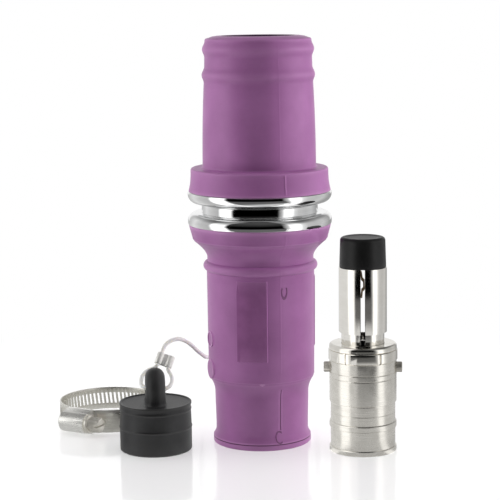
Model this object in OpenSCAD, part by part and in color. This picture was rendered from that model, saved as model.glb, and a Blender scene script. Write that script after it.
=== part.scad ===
// Sewer hose kit: rubber-cuffed coupling with a tethered stopper, a worm-drive hose clamp
// and a stainless adapter with a sprung valve stem. The coupling stands on its tail.
// Origin on the coupling's axis, at the mouth of its tail. +Z runs up the coupling.

/* [Layout] */
// Adapter axis, sideways from the coupling axis
adapter_x = 59; // [52:0.5:75]
// Adapter axis, back from the coupling axis
adapter_y = -24.8; // [-34:0.2:-14]
// Turn of the adapter about its own axis, degrees
adapter_turn = -3.9; // [-90:0.1:90]
// Stopper axis, sideways from the coupling axis
stopper_x = -62.9; // [-80:0.1:-58]
// Stopper axis, back from the coupling axis
stopper_y = -19.2; // [-34:0.2:-12]
// Turn of the stopper's lug about its axis, degrees
stopper_turn = 5.5; // [-10:0.5:15]
// Hose clamp centre, sideways from the coupling axis
clamp_x = -95.3; // [-120:0.1:-90]
// Hose clamp centre, back from the coupling axis
clamp_y = 47.8; // [40:0.2:70]
// Direction of the clamp's housing, degrees from +X
clamp_turn = 240; // [200:1:300]

/* [Coupling] */
// Bore through both cuffs and the flanges
bore_d = 43; // [38:0.5:45]
// Bore of the tail, which grips a 40 mm pipe
tail_bore_d = 40.4; // [34:0.2:42]
// Height where the tail's bore starts to widen
tail_bore_h = 52; // [44:1:60]
// Height of the lower cuff, up to the chrome
lower_cuff_h = 131.2; // [129:0.2:136]
// Height of the chrome, over both flanges
chrome_h = 19.6; // [17:0.2:24]
// Height of the upper cuff, over the chrome
upper_cuff_h = 90.4; // [82:0.2:110]
// Chrome rim diameter
rim_d = 84.8; // [82:0.2:90]
// Round on the groove side of each rim
rim_round = 4.8; // [2:0.1:5.5]
// Diameter of the neck at the bottom of the groove
neck_d = 68.4; // [64:0.2:72]
// Width of the groove between the rims
groove_w = 5.8; // [4:0.1:8]
// Depth of the cone where each rim meets the neck
neck_cone = 1; // [0.4:0.1:1.6]
// Wall of the spigots that the cuffs are moulded on
spigot_wall = 3.4; // [2.5:0.1:4.5]
// Length of each spigot inside its cuff
spigot_l = 46; // [36:1:52]
// Height of a retaining ridge on a spigot
ridge_h = 1.2; // [0.6:0.1:1.8]
// Retaining ridges on each spigot
ridge_count = 3; // [2:1:4]
// Thread diameter that joins the flanges
union_d = 54; // [52:0.2:56]
// Thread length that joins the flanges
union_l = 5.2; // [4:0.2:6]
// Thickness of the seal ring between the flanges
union_seal_d = 2.4; // [1.6:0.1:2.6]
// Diameter of the seal ring's centre line
union_seal_line_d = 60; // [59:0.2:61]

/* [Upper cuff] */
// Diameter of the collar at the chrome
collar_d = 83.8; // [80:0.2:84]
// Height of the collar
collar_h = 13.6; // [10:0.2:18]
// Waist of the collar, in from its foot
collar_waist = 1.4; // [0.4:0.1:2]
// Diameter of the hose part at the collar
hose_foot_d = 66.7; // [62:0.1:70]
// Diameter of the hose part under the beads
hose_top_d = 63.4; // [60:0.1:66]
// Diameter of the hose part at its top edge
hose_edge_d = 62.2; // [58:0.1:64]
// Height of each bead over the wall
bead_h = 1.4; // [0.6:0.1:2]
// Length of each bead along the axis
bead_l = 9.6; // [6:0.2:12]
// From the top to the centre of the upper bead
bead_from_top = 7.6; // [6:0.2:10]
// Distance between the two beads
bead_pitch = 14.8; // [12:0.2:18]
// Dome of the top face
top_dome = 1.5; // [0.5:0.1:2.5]

/* [Lower cuff] */
// Diameter of the shoulder at the chrome
shoulder_d = 83.8; // [80:0.2:84]
// Diameter at the shoulder's lower corner
shoulder_foot_d = 80; // [74:0.2:82]
// Height of the shoulder
shoulder_h = 8.8; // [7:0.2:12]
// Height of the flare under the shoulder
flare_h = 10.4; // [8:0.2:12]
// Diameter of the sleeve
sleeve_d = 63.7; // [60:0.1:66]
// Diameter of the sleeve at its lower corner
sleeve_foot_d = 63.1; // [60:0.1:66]
// Ring bead under the flare, over the sleeve
ring_bead_h = 1.95; // [0.8:0.05:2.5]
// Length of the ring bead along the axis
ring_bead_l = 5.4; // [4:0.2:7]
// Plain wall between the flare and the ring bead
ring_bead_gap = 2.7; // [1:0.1:4]
// Height of the sleeve's lower corner
sleeve_foot_z = 40.4; // [38:0.2:46]
// Height of the curved step from the sleeve to the tail
step_h = 10.4; // [8:0.2:12]
// Diameter of the tail under the step
tail_d = 55.8; // [54:0.1:58]
// Diameter of the tail over the lip
tail_low_d = 55; // [53:0.1:57]
// Diameter of the lip at the mouth
lip_d = 58.4; // [57:0.1:62]
// Height of the lip's straight edge
lip_h = 4; // [3:0.1:6]
// Height over which the lip flares
lip_flare_h = 4.4; // [4:0.1:8]
// Width of the moulded panel
panel_w = 18; // [12:0.5:24]
// Height of the moulded panel
panel_h = 48; // [30:1:49]
// Thickness of the moulded panel over the sleeve
panel_t = 0.4; // [0.2:0.05:0.8]
// Height of the front panel's lower edge
panel_z = 53.5; // [44:0.5:54]
// Height of the side panel's lower edge
side_panel_z = 58; // [50:0.5:60]
// Length of the side panel
side_panel_h = 42; // [30:1:44]
// Direction of the front panel, degrees from +X
panel_dir = -100; // [-120:1:-80]
// Direction of the side panel, degrees from +X
side_panel_dir = 8; // [0:1:20]
// Diameter of the moulded pad at the sleeve's foot
pad_d = 11.6; // [8:0.2:14]
// Diameter of the moulded ring mark over the pad
mark_d = 9.6; // [6:0.2:11]
// Width of the moulded ring mark's line
mark_line = 0.8; // [0.4:0.1:1.5]
// Direction of the pad and the mark, degrees from +X
pad_dir = 194; // [185:1:205]

/* [Adapter body] */
// Height of the adapter's tail piece
tail_piece_h = 29.3; // [27:0.1:36]
// Diameter of the tail piece
tail_piece_d = 37.8; // [36:0.1:38.6]
// Diameter of the beads on the tail piece
tail_bead_d = 39.3; // [39:0.1:40.2]
// Height of the foot bead
foot_bead_h = 3; // [2:0.1:4]
// Height of the middle bead
mid_bead_h = 3.6; // [2:0.1:5]
// Height of the middle bead's lower edge
mid_bead_z = 14.2; // [11:0.1:18]
// Inlet bore of the adapter
inlet_d = 32; // [30:0.5:33]
// Diameter of the barrel
barrel_d = 39.2; // [38.6:0.1:41]
// Height of the barrel
barrel_h = 24.8; // [22:0.1:34]
// Diameter of both threads in the barrel
thread_d = 34.8; // [34:0.1:35.4]
// Depth of the tail piece's thread in the barrel
tail_thread_l = 8.7; // [6:0.1:9]
// Thickness of the gaskets in the barrel
gasket_t = 1; // [0.5:0.1:1.5]
// Diameter of the locking ring
lock_ring_d = 40.2; // [40:0.1:44]
// Height of the locking ring
lock_ring_h = 6.2; // [4:0.1:8]
// Spanner slots round the locking ring
lock_slot_count = 6; // [4:1:8]
// Width of a spanner slot
lock_slot_w = 0.9; // [0.6:0.1:2]
// Depth of a spanner slot
lock_slot_deep = 1.1; // [0.6:0.1:2]
// Thickness of the end plate over the locking ring
plate_t = 3.5; // [3:0.1:6]
// Diameter of the end plate
plate_d = 39.4; // [38:0.1:41]
// Round on the end plate's top edge
plate_round = 1.8; // [0.8:0.1:2.4]
// Depth of the end plate's thread in the barrel
plate_thread_l = 7.5; // [7.2:0.1:8]
// Diameter of the bayonet pins
pin_d = 6.2; // [4:0.1:6.6]
// Distance over both bayonet pins
pin_span = 45.7; // [44:0.1:52]
// From the top of the barrel down to the pins' axis
pin_drop = 4.9; // [4.2:0.1:5.6]
// Thickness of the ledge that carries the return spring
ledge_t = 2.5; // [1.5:0.1:3.5]
// Height of the ledge's seat
ledge_z = 25; // [23:0.1:27]
// Bore of the ledge
ledge_bore_d = 21; // [16:0.5:24]

/* [Stem] */
// Diameter of the stem's inner tube
stem_d = 25; // [23:0.1:26]
// Wall of the inner tube
stem_wall = 1.2; // [0.8:0.1:1.6]
// Height of the inner tube over the end plate
stem_h = 56.6; // [50:0.1:80]
// Outer diameter of the slotted sleeve
stem_sleeve_d = 27.9; // [27:0.1:30]
// Stroke of the stem
stem_stroke = 6.4; // [4:0.1:7]
// Gap left under the sleeve at full stroke
stroke_gap = 0.2; // [0.1:0.05:0.5]
// Running clearance round the stem, on the radius
stem_gap = 0.05; // [0.02:0.01:0.1]
// Width of the slots through the stem
slot_w = 2.7; // [1.5:0.1:4]
// Height of the slots' lower end over the end plate
slot_z = 3.6; // [2:0.1:6]
// Diameter of the rubber cap at its foot
cap_d = 27.1; // [26.8:0.1:30]
// Diameter of the rubber cap at its top
cap_top_d = 26.2; // [25.5:0.1:28]
// Height of the rubber cap
cap_h = 17.5; // [12:0.1:24]
// Thickness of the cap's end
cap_end_t = 5.5; // [3:0.1:8]
// Thickness of the leaf spring in the stem
leaf_t = 1; // [0.6:0.1:1.4]
// Width of the leaf spring
leaf_w = 8; // [4:0.2:12]
// Diameter of the stem's foot
foot_d = 30.6; // [29:0.1:31]
// Thickness of the stem's foot
foot_t = 2; // [1.5:0.1:3]
// Thickness of the foot seal
foot_seal_t = 1.6; // [1:0.1:2]
// Height of the flow windows over the foot seal
window_h = 4.6; // [3:0.1:5]
// Flow windows round the tube
window_count = 4; // [3:1:6]
// Wire of the return spring
spring_wire = 1.5; // [1:0.1:1.7]
// Outer diameter of the return spring
spring_d = 29; // [27:0.1:30]
// Turns of the return spring
spring_turns = 4; // [3:0.5:4.5]

/* [Stopper] */
// Diameter of the stopper
stopper_d = 42.4; // [36:0.2:46]
// Height of the stopper
stopper_h = 28.2; // [22:0.2:34]
// Height of the ribs over the stopper's side
rib_h = 0.4; // [0.2:0.1:1]
// Length of each rib along the axis
rib_l = 2.6; // [1.5:0.1:4]
// Round on the stopper's lower edge
stopper_round = 1.2; // [1:0.1:4]
// Diameter of the recess under the stopper
recess_d = 27; // [20:0.5:30]
// Depth of the recess under the stopper
recess_h = 9; // [5:0.5:12]
// Thickness of the lug, from side to side
lug_t = 11.6; // [9:0.1:14]
// Length of the lug, front to back
lug_l = 25; // [23:0.2:30]
// Height of the lug over the stopper
lug_h = 20.4; // [20:0.1:26]
// Diameter of the hole in the lug
lug_hole_d = 6.8; // [6:0.1:8]

/* [Tether] */
// Diameter of the tether
tether_d = 2.4; // [1.6:0.1:2.6]
// Diameter of each barrel of the crimp
crimp_d = 4.6; // [3.6:0.1:5]
// Distance between the crimp's two barrels
crimp_pitch = 6.2; // [5.4:0.1:6.4]
// Length of the crimp
crimp_l = 7; // [5:0.1:8]
// Diameter of the ear that the tether passes through
ear_d = 8.4; // [6:0.2:9]
// Length of the ear
ear_l = 7; // [5:0.5:7]
// Diameter of the stop at the tether's far end
stop_d = 4.6; // [3.6:0.1:6]
// Length of the stop at the tether's far end
stop_l = 5; // [3:0.1:8]

/* [Hose clamp] */
// Outer diameter of the band
band_d = 62.8; // [50:0.2:66]
// Width of the band
band_w = 14; // [10:0.1:16]
// Thickness of the band
band_t = 0.8; // [0.6:0.05:1]
// Spacing of the worm slots along the band
slot_pitch = 2.7; // [2.6:0.05:3.4]
// Width of a worm slot
worm_slot_w = 1.25; // [0.8:0.05:1.5]
// Height of a worm slot
worm_slot_h = 7; // [5:0.1:9]
// Slant of the worm slots, degrees
worm_slot_slant = 6; // [0:0.5:12]
// Length of the housing along the screw
housing_l = 17.5; // [15:0.1:24]
// Sheet under and over the band's edges in the housing
housing_lip = 0.5; // [0.4:0.05:1]
// Diameter of the housing round the worm
housing_d = 12.4; // [11.8:0.1:13]
// Diameter of the worm
worm_d = 8.6; // [7:0.1:9]
// Depth of the worm's thread
worm_deep = 0.9; // [0.5:0.05:1.2]
// Diameter of the screw's flange
screw_flange_d = 11.2; // [9.5:0.1:12]
// Thickness of the screw's flange
screw_flange_t = 1.6; // [1:0.1:2.5]
// Hexagon head, across its flats
hex_af = 8; // [7:0.1:9]
// Length of the hexagon head
hex_l = 7.8; // [5:0.1:10]
// Width of the screwdriver slot
drive_w = 1.3; // [0.8:0.1:2]
// Depth of the screwdriver slot
drive_deep = 2.2; // [1:0.1:3]
// Running clearance round the screw, on the radius
screw_gap = 0.05; // [0.02:0.01:0.1]

/* [Hidden] */
$fn = 96;
eps = 0.01;
// Clearance on the radius round the tether, and round the clamp's band in its housing.
tether_gap = 0.25;
band_gap = 0.05;
purple = [0.60, 0.42, 0.60];
chrome = [0.86, 0.87, 0.88];
steel = [0.80, 0.79, 0.76];
black = [0.10, 0.10, 0.10];
nylon = [0.88, 0.88, 0.86];

// ---- curves ----

// Points on an arc, from a0 to a1 degrees.
function arc(cx, cy, r, a0, a1, n = 6) =
    [for (i = [0:n]) let (a = a0 + (a1 - a0) * i / n) [cx + r * cos(a), cy + r * sin(a)]];

// A smooth bump, 1 in the middle of its length and 0 at its ends.
function bump(z, middle, length) =
    let (u = 2 * (z - middle) / length) abs(u) < 1 ? (1 + cos(180 * u)) / 2 : 0;

// Heights from z0 to z1 in n equal steps.
function heights(z0, z1, n) = [for (i = [0:n]) z0 + (z1 - z0) * i / n];

// A point on a smooth curve through b and c, with neighbours a and d.
function curve_point(a, b, c, d, u) =
    0.5 * ((2 * b) + (c - a) * u + (2 * a - 5 * b + 4 * c - d) * u * u
        + (3 * b - a - 3 * c + d) * u * u * u);

// A smooth curve through every point, with the same number of steps between each two.
function smooth(p, steps) =
    let (n = len(p) - 1)
    concat([for (i = [0:n - 1], s = [0:steps - 1])
        curve_point(i == 0 ? 2 * p[0] - p[1] : p[i - 1], p[i], p[i + 1],
            i == n - 1 ? 2 * p[n] - p[n - 1] : p[i + 2], s / steps)], [p[n]]);

function unit(v) = v / norm(v);

// Direction of the curve at each of its points.
function directions(p) =
    let (n = len(p) - 1)
    [for (i = [0:n]) unit(p[min(i + 1, n)] - p[max(i - 1, 0)])];

// Side directions carried along the curve without twisting.
function carried(t, v, i = 0) =
    i >= len(t) ? [] : let (s = unit(v - (v * t[i]) * t[i])) concat([s], carried(t, s, i + 1));

// A closed tube along the points p, with end directions t0 and t1.
module tube(p, r, sides, side, t0, t1) {
    n = len(p) - 1;
    mid = directions(p);
    t = [for (i = [0:n]) i == 0 ? unit(t0) : i == n ? unit(t1) : mid[i]];
    s = carried(t, side);
    points = [for (i = [0:n], k = [0:sides - 1]) let (a = 360 * k / sides)
        p[i] + r * (cos(a) * s[i] + sin(a) * cross(t[i], s[i]))];
    walls = [for (i = [0:n - 1], k = [0:sides - 1], h = [0:1])
        let (m = (k + 1) % sides, a = i * sides, b = a + sides)
        h == 0 ? [a + k, b + k, b + m] : [a + k, b + m, a + m]];
    starts = [for (k = [1:sides - 2]) [0, k, k + 1]];
    ends = [for (k = [1:sides - 2]) [n * sides, n * sides + k + 1, n * sides + k]];
    polyhedron(points = points, faces = concat(walls, starts, ends), convexity = 10);
}

// Turns +Z towards the direction d.
module aim(d) {
    rotate([0, acos(d[2] / norm(d)), atan2(d[1], d[0])]) children();
}

// ---- coupling ----

bore_r = bore_d / 2;
spigot_r = bore_r + spigot_wall;
chrome_top = lower_cuff_h + chrome_h;
groove_mid = lower_cuff_h + chrome_h / 2 + 0.3;
face_low = groove_mid - groove_w / 2;
face_high = groove_mid + groove_w / 2;
neck_r = neck_d / 2;
seam_z = face_high - neck_cone;
rim_r = rim_d / 2;
ridge_pitch = spigot_l / (ridge_count + 1);
union_r = union_d / 2;

// Outside of a spigot that runs from z0 for the length of a spigot, up (1) or down (-1).
function spigot_side(z0, up) =
    [for (i = [1:ridge_count], q = [[-0.9, 0], [-0.9, 1], [-0.3, 1], [1.5, 0]])
        [spigot_r + q[1] * ridge_h, z0 + up * (i * ridge_pitch + q[0])]];

// Wall of the hose part of the upper cuff at height z.
hose_z = chrome_top + collar_h;
top_z = chrome_top + upper_cuff_h;
edge_z = top_z - top_dome;
bead_hi = edge_z - bead_from_top + top_dome;
bead_lo = bead_hi - bead_pitch;
function hose_r(z) =
    z < bead_lo
    ? hose_foot_d / 2 - (hose_foot_d - hose_top_d) / 2 * pow((z - hose_z) / (bead_lo - hose_z), 2)
    : hose_top_d / 2 - (hose_top_d - hose_edge_d) / 2 * (z - bead_lo) / (edge_z - bead_lo);
function beaded_r(z) =
    hose_r(z) + bead_h * (bump(z, bead_hi, bead_l) + bump(z, bead_lo, bead_l));

module upper_cuff() {
    collar_r = collar_d / 2;
    edge_round = 1.2;
    lip_round = 1;
    color(purple) rotate_extrude() polygon(concat(
        [[spigot_r, chrome_top]],
        spigot_side(chrome_top, 1),
        [[spigot_r, chrome_top + spigot_l], [bore_r, chrome_top + spigot_l]],
        arc(bore_r + lip_round, top_z - lip_round, lip_round, 180, 90),
        [[hose_edge_d / 2 - 1.4, edge_z]],
        [for (z = heights(edge_z - 2, bead_lo - bead_l / 2, 26)) [beaded_r(z), z]],
        [for (z = heights(bead_lo - bead_l / 2 - 6, hose_z + 1.6, 5)) [hose_r(z), z]],
        arc(hose_foot_d / 2 + 1.2, hose_z + 1.2, 1.2, 180, 270, 4),
        arc(collar_r - collar_waist - edge_round, hose_z - edge_round, edge_round, 90, 0, 4),
        [for (u = [0.25:0.125:1]) [collar_r - collar_waist * cos(90 * pow(u, 1.6)),
            hose_z - u * collar_h]]
    ));
}

// Profile of a flange: its spigot, the cuff face at cuff_z and the rim's groove side at
// groove_z.
module flange_profile(cuff_z, groove_z) {
    side = groove_z > cuff_z ? 1 : -1;
    end_z = cuff_z - side * spigot_l;
    ridges = spigot_side(cuff_z, -side);
    polygon(concat(
        [[bore_r, end_z], [spigot_r, end_z]],
        [for (i = [len(ridges) - 1:-1:0]) ridges[i]],
        [[spigot_r, cuff_z], [rim_r - 0.6, cuff_z], [rim_r, cuff_z + side * 1.4]],
        arc(rim_r - rim_round, groove_z - side * rim_round, rim_round, 0, side * 90, 8),
        [[neck_r + 0.4 + neck_cone * 3, groove_z], [neck_r, groove_z + side * neck_cone],
            [bore_r, groove_z + side * neck_cone]]
    ));
}

module upper_flange() {
    color(chrome) difference() {
        rotate_extrude() flange_profile(chrome_top, face_high);
        translate([0, 0, seam_z - 1]) cylinder(r = union_r, h = union_l + 1);
    }
}

module lower_flange() {
    groove_deep = union_seal_d * 0.9;
    color(chrome) difference() {
        rotate_extrude() {
            flange_profile(lower_cuff_h, face_low);
            translate([bore_r, face_low]) square([neck_r - bore_r, seam_z - face_low]);
            translate([bore_r, seam_z - 1]) square([union_r - bore_r, union_l + 1]);
        }
        rotate_extrude() translate([union_seal_line_d / 2 - union_seal_d / 2 - 0.1,
            seam_z - groove_deep]) square([union_seal_d + 0.2, groove_deep + 1]);
    }
}

module union_seal() {
    color(black) rotate_extrude()
        translate([union_seal_line_d / 2, seam_z - union_seal_d * 0.45])
            circle(d = union_seal_d * 0.88, $fn = 32);
}

// Outside of the lower cuff, from its shoulder down to its mouth.
flare_z = lower_cuff_h - shoulder_h;
neck_z = flare_z - flare_h;
ring_bead_z = neck_z - ring_bead_gap - ring_bead_l / 2;
ring_bead_r = (pow(ring_bead_l / 2, 2) + pow(ring_bead_h, 2)) / (2 * ring_bead_h);
function ring_r(z) =
    sleeve_d / 2 + ring_bead_h - ring_bead_r + sqrt(pow(ring_bead_r, 2) - pow(z - ring_bead_z, 2));
function flare_r(z) =
    sleeve_d / 2 - 0.4
    + (shoulder_foot_d - sleeve_d + 0.8) / 2 * pow((z - neck_z) / flare_h, 1.6);
function step_r(z) =
    tail_d / 2 + (sleeve_foot_d - tail_d) / 2
    * pow((z - sleeve_foot_z + step_h) / step_h, 2);
function lip_r(z) =
    tail_low_d / 2
    + (lip_d - tail_low_d) / 2 * pow((lip_h + lip_flare_h - z) / lip_flare_h, 2);

// A patch of the sleeve's wall, raised by t: width w, from z0 to z0 + h, facing dir.
module panel(dir, z0, w, h, t) {
    intersection() {
        translate([0, 0, z0]) cylinder(d = sleeve_d + 2 * t, h = h);
        rotate([0, 0, dir]) translate([sleeve_d / 4, -w / 2, z0]) cube([sleeve_d, w, h]);
    }
}

module lower_cuff() {
    corner = 0.8;
    color(purple) difference() {
        union() {
            rotate_extrude() polygon(concat(
                [[bore_r - 2, lower_cuff_h], [shoulder_d / 2, lower_cuff_h]],
                arc(shoulder_foot_d / 2 - corner, flare_z + corner, corner, 0, -60, 4),
                [for (z = heights(flare_z - 0.6, neck_z, 8)) [flare_r(z), z]],
                [for (z = heights(ring_bead_z + ring_bead_l / 2, ring_bead_z - ring_bead_l / 2, 12))
                    [ring_r(z), z]],
                arc(sleeve_foot_d / 2 - corner, sleeve_foot_z + corner, corner, 0, -50, 4),
                [for (z = heights(sleeve_foot_z - 0.6, sleeve_foot_z - step_h, 8)) [step_r(z), z]],
                [for (z = heights(lip_h + lip_flare_h, lip_h, 6)) [lip_r(z), z]],
                [[lip_d / 2, 1.2], [lip_d / 2 - 0.6, 0], [bore_r - 2, 0]]
            ));
            panel(panel_dir, panel_z, panel_w, panel_h, panel_t);
            panel(side_panel_dir, side_panel_z, panel_w, side_panel_h, panel_t);
            moulded_marks();
            tether_ear();
        }
        translate([0, 0, -1]) cylinder(d = tail_bore_d, h = tail_bore_h + 2);
        translate([0, 0, tail_bore_h])
            cylinder(d1 = tail_bore_d, d2 = bore_d, h = 2);
        translate([0, 0, tail_bore_h + 2]) cylinder(r = bore_r, h = lower_cuff_h);
        rotate_extrude() polygon(concat([[bore_r - 1, lower_cuff_h + 1],
            [bore_r - 1, lower_cuff_h - spigot_l], [spigot_r, lower_cuff_h - spigot_l]],
            [for (i = [ridge_count:-1:1], q = [[1.5, 0], [-0.3, 1], [-0.9, 1], [-0.9, 0]])
                [spigot_r + q[1] * ridge_h, lower_cuff_h - i * ridge_pitch - q[0]]],
            [[spigot_r, lower_cuff_h + 1]]));
        tether_line() cylinder(d = tether_d + 2 * tether_gap, h = 4 * ear_l, center = true);
    }
}

// Round pad at the sleeve's foot and the ring mark over it.
module moulded_marks() {
    pad_z = sleeve_foot_z + 4;
    mark_z = pad_z + pad_d / 2 + mark_d / 2 + 7;
    rotate([0, 0, pad_dir]) translate([sleeve_d / 2 - 4, 0, 0]) {
        translate([0, 0, pad_z]) rotate([0, 90, 0]) cylinder(d = pad_d, h = 4.3, $fn = 48);
        translate([0, 0, mark_z]) rotate([0, 90, 0]) difference() {
            cylinder(d = mark_d, h = 4.3, $fn = 48);
            translate([0, 0, 3]) cylinder(d = mark_d - 2 * mark_line, h = 4, $fn = 48);
        }
    }
}

// ---- tether ----

// Route of the tether as it lies, from the top of the crimp to its stop.
tether_points = [
    [-59.3, -6, 54.7], [-58.1, -4.4, 57.7], [-56, -2.8, 60.1], [-52.8, -1, 61.5],
    [-48.8, 1.6, 61.5], [-44.6, 4.2, 59.2], [-41.2, 6.4, 55.9], [-38.4, 8.4, 52.6],
    [-35.6, 11, 49.6], [-33.8, 14.4, 47.6], [-31.8, 18.2, 46.6], [-28.8, 22.2, 46.2],
    [-24.8, 26, 46], [-20, 29.2, 46], [-14.4, 31.6, 46], [-7.4, 34, 46]
];
// Route of the tether's loop, from the foot of the crimp through the stopper's lug.
loop_points = [
    [-62.6, -9.7, 47.4], [-64.5, -9.9, 46.3], [-67, -10.1, 45.4], [-69.4, -11.4, 44],
    [-71, -14, 41.8], [-71.1, -17.8, 38.7], [-68.4, -20.6, 37], [-62.8, -21.3, 35.9],
    [-57.4, -20.4, 36.3], [-54.2, -18.4, 37.7], [-53, -15.4, 40.4], [-53.8, -12.6, 43],
    [-55.2, -10.8, 44.9]
];
tether_last = len(tether_points) - 1;
tether_start = unit(tether_points[1] - tether_points[0]);
tether_end = unit(tether_points[tether_last] - tether_points[tether_last - 1]);
crimp_turn = -53;
crimp_foot = tether_points[0] - crimp_l * tether_start;

// Where the X axis points after a turn t about Z and then aim(d).
function aimed_x(d, t) =
    let (b = acos(d[2]), a = atan2(d[1], d[0]))
    [cos(a) * cos(b) * cos(t) - sin(a) * sin(t),
        sin(a) * cos(b) * cos(t) + cos(a) * sin(t), -sin(b) * cos(t)];

// Puts its children at the tether's far end, with +Z along the tether.
module tether_line() {
    translate(tether_points[tether_last]) aim(tether_end) children();
}

// Ear on the lower cuff that the tether passes through.
module tether_ear() {
    tether_line() translate([0, 0, -ear_l]) {
        cylinder(d = ear_d, h = ear_l, $fn = 48);
        translate([-ear_d / 2, -ear_d, 0]) cube([ear_d, ear_d, ear_l]);
    }
}

module tether_cable() {
    color(nylon) tube(smooth(tether_points, 2), tether_d / 2, 8, [0, 0, 1],
        tether_start, tether_end);
}

module tether_loop() {
    second_foot = crimp_foot + crimp_pitch * aimed_x(tether_start, crimp_turn);
    color(nylon) tube(smooth(concat([crimp_foot], loop_points, [second_foot]), 2),
        tether_d / 2, 8, [0, 1, 0], -tether_start, tether_start);
}

module tether_crimp() {
    web_t = crimp_d / 1.5;
    color(steel) translate(crimp_foot) aim(tether_start) rotate([0, 0, crimp_turn]) {
        for (x = [0, crimp_pitch])
            translate([x, 0, 0]) cylinder(d = crimp_d, h = crimp_l, $fn = 48);
        translate([0, -web_t / 2, 0]) cube([crimp_pitch, web_t, crimp_l]);
    }
}

module tether_stop() {
    color(steel) tether_line() cylinder(d = stop_d, h = stop_l, $fn = 48);
}

// ---- adapter ----

tail_top = tail_piece_h;
barrel_top = tail_top + barrel_h;
plate_z = barrel_top + lock_ring_h;
plate_top = plate_z + plate_t;
thread_r = thread_d / 2;
chamber_r = inlet_d / 2;
barrel_r = barrel_d / 2;
tail_thread_z = tail_top + tail_thread_l;
skirt_z = barrel_top - plate_thread_l;
pin_z = barrel_top - pin_drop;
stem_r = stem_d / 2;
stem_sleeve_r = stem_sleeve_d / 2;

module at_adapter() {
    translate([adapter_x, adapter_y, 0]) rotate([0, 0, adapter_turn]) children();
}

// A fine turned line round a part of radius r at height z.
module turned_line(r, z, deep = 0.25) {
    rotate_extrude() polygon([[r - deep, z], [r + 1, z - deep * 2], [r + 1, z + deep * 2]]);
}

module adapter_tail() {
    body_r = tail_piece_d / 2;
    bead_r = tail_bead_d / 2;
    edge = 0.5;
    color(steel) at_adapter() difference() {
        rotate_extrude() polygon([
            [ledge_bore_d / 2, ledge_z - ledge_t], [chamber_r, ledge_z - ledge_t],
            [chamber_r, edge], [chamber_r + edge, 0],
            [bead_r - edge, 0], [bead_r, edge], [bead_r, foot_bead_h - edge / 2],
            [body_r, foot_bead_h],
            [body_r, mid_bead_z], [bead_r, mid_bead_z + edge],
            [bead_r, mid_bead_z + mid_bead_h - edge], [body_r, mid_bead_z + mid_bead_h],
            [body_r, tail_top], [thread_r, tail_top], [thread_r, tail_thread_z],
            [chamber_r, tail_thread_z], [chamber_r, ledge_z], [ledge_bore_d / 2, ledge_z]
        ]);
        turned_line(body_r, mid_bead_z + mid_bead_h + 5.4, 0.15);
    }
}

module adapter_barrel() {
    color(steel) at_adapter() difference() {
        translate([0, 0, tail_top]) cylinder(r = barrel_r, h = barrel_h);
        translate([0, 0, tail_top - 1]) cylinder(r = chamber_r, h = barrel_h + 2);
        translate([0, 0, tail_top - 1]) cylinder(r = thread_r, h = tail_thread_l + gasket_t + 1);
        translate([0, 0, skirt_z - gasket_t]) cylinder(r = thread_r, h = barrel_h);
        for (z = [pin_z - 2, pin_z - 5.2]) turned_line(barrel_r, z);
        translate([0, 0, pin_z]) rotate([0, 90, 0])
            cylinder(d = pin_d, h = pin_span, center = true, $fn = 48);
    }
}

module gasket(z) {
    at_adapter() translate([0, 0, z]) difference() {
        cylinder(r = thread_r, h = gasket_t);
        translate([0, 0, -1]) cylinder(r = chamber_r, h = gasket_t + 2);
    }
}

module barrel_gasket() {
    color(black) gasket(tail_thread_z);
}

module plate_gasket() {
    color(black) gasket(skirt_z - gasket_t);
}

module lock_ring() {
    ring_r = lock_ring_d / 2;
    edge = 0.4;
    color(steel) at_adapter() translate([0, 0, barrel_top]) difference() {
        rotate_extrude() polygon([
            [thread_r, 0], [ring_r - edge, 0], [ring_r, edge],
            [ring_r, lock_ring_h - edge], [ring_r - edge, lock_ring_h], [thread_r, lock_ring_h]
        ]);
        for (i = [0:lock_slot_count - 1]) rotate([0, 0, i * 360 / lock_slot_count])
            translate([ring_r - lock_slot_deep, -lock_slot_w / 2, -1])
                cube([ring_r, lock_slot_w, lock_ring_h + 2]);
    }
}

module end_plate() {
    bore = stem_r + stem_gap;
    plate_r = plate_d / 2;
    color(steel) at_adapter() rotate_extrude() polygon(concat(
        [[bore, skirt_z], [thread_r, skirt_z], [thread_r, plate_z],
            [plate_r - 0.4, plate_z], [plate_r, plate_z + 0.4]],
        arc(plate_r - plate_round, plate_top - plate_round, plate_round, 0, 90, 6),
        [[bore, plate_top]]
    ));
}

module bayonet_pins() {
    edge = 0.4;
    l = pin_span / 2 - thread_r;
    color(steel) at_adapter() for (side = [0, 180]) rotate([0, 0, side])
        translate([thread_r, 0, pin_z]) rotate([0, 90, 0]) rotate_extrude($fn = 48)
            polygon([[0, 0], [pin_d / 2, 0], [pin_d / 2, l - edge],
                [pin_d / 2 - edge, l], [0, l]]);
}

// ---- stem ----

tube_z = skirt_z - foot_seal_t;
tube_top = plate_top + stem_h;
foot_z = tube_z - foot_t;
plug_l = 2.2;
sleeve_z = plate_top + stem_stroke + stroke_gap;
cap_z = tube_top - (cap_h - cap_end_t);
tube_in_r = stem_r - stem_wall;
cap_cover = 3;
// Closed collar of the slotted sleeve, inside the cap's foot.
sleeve_collar_r = stem_r + 0.6;
sleeve_collar_l = 1.6;

module stem_tube() {
    color(steel) at_adapter() difference() {
        translate([0, 0, tube_z]) cylinder(r = stem_r, h = tube_top - tube_z);
        translate([0, 0, tube_z - 1]) cylinder(r = tube_in_r, h = tube_top - tube_z + 2);
        translate([-slot_w / 2, -stem_d, plate_top + slot_z])
            cube([slot_w, 2 * stem_d, cap_z + cap_cover - plate_top - slot_z]);
        for (i = [0:window_count - 1]) rotate([0, 0, (i + 0.5) * 360 / window_count])
            translate([0, -slot_w, skirt_z + 0.8]) cube([stem_d, 2 * slot_w, window_h]);
    }
}

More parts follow.
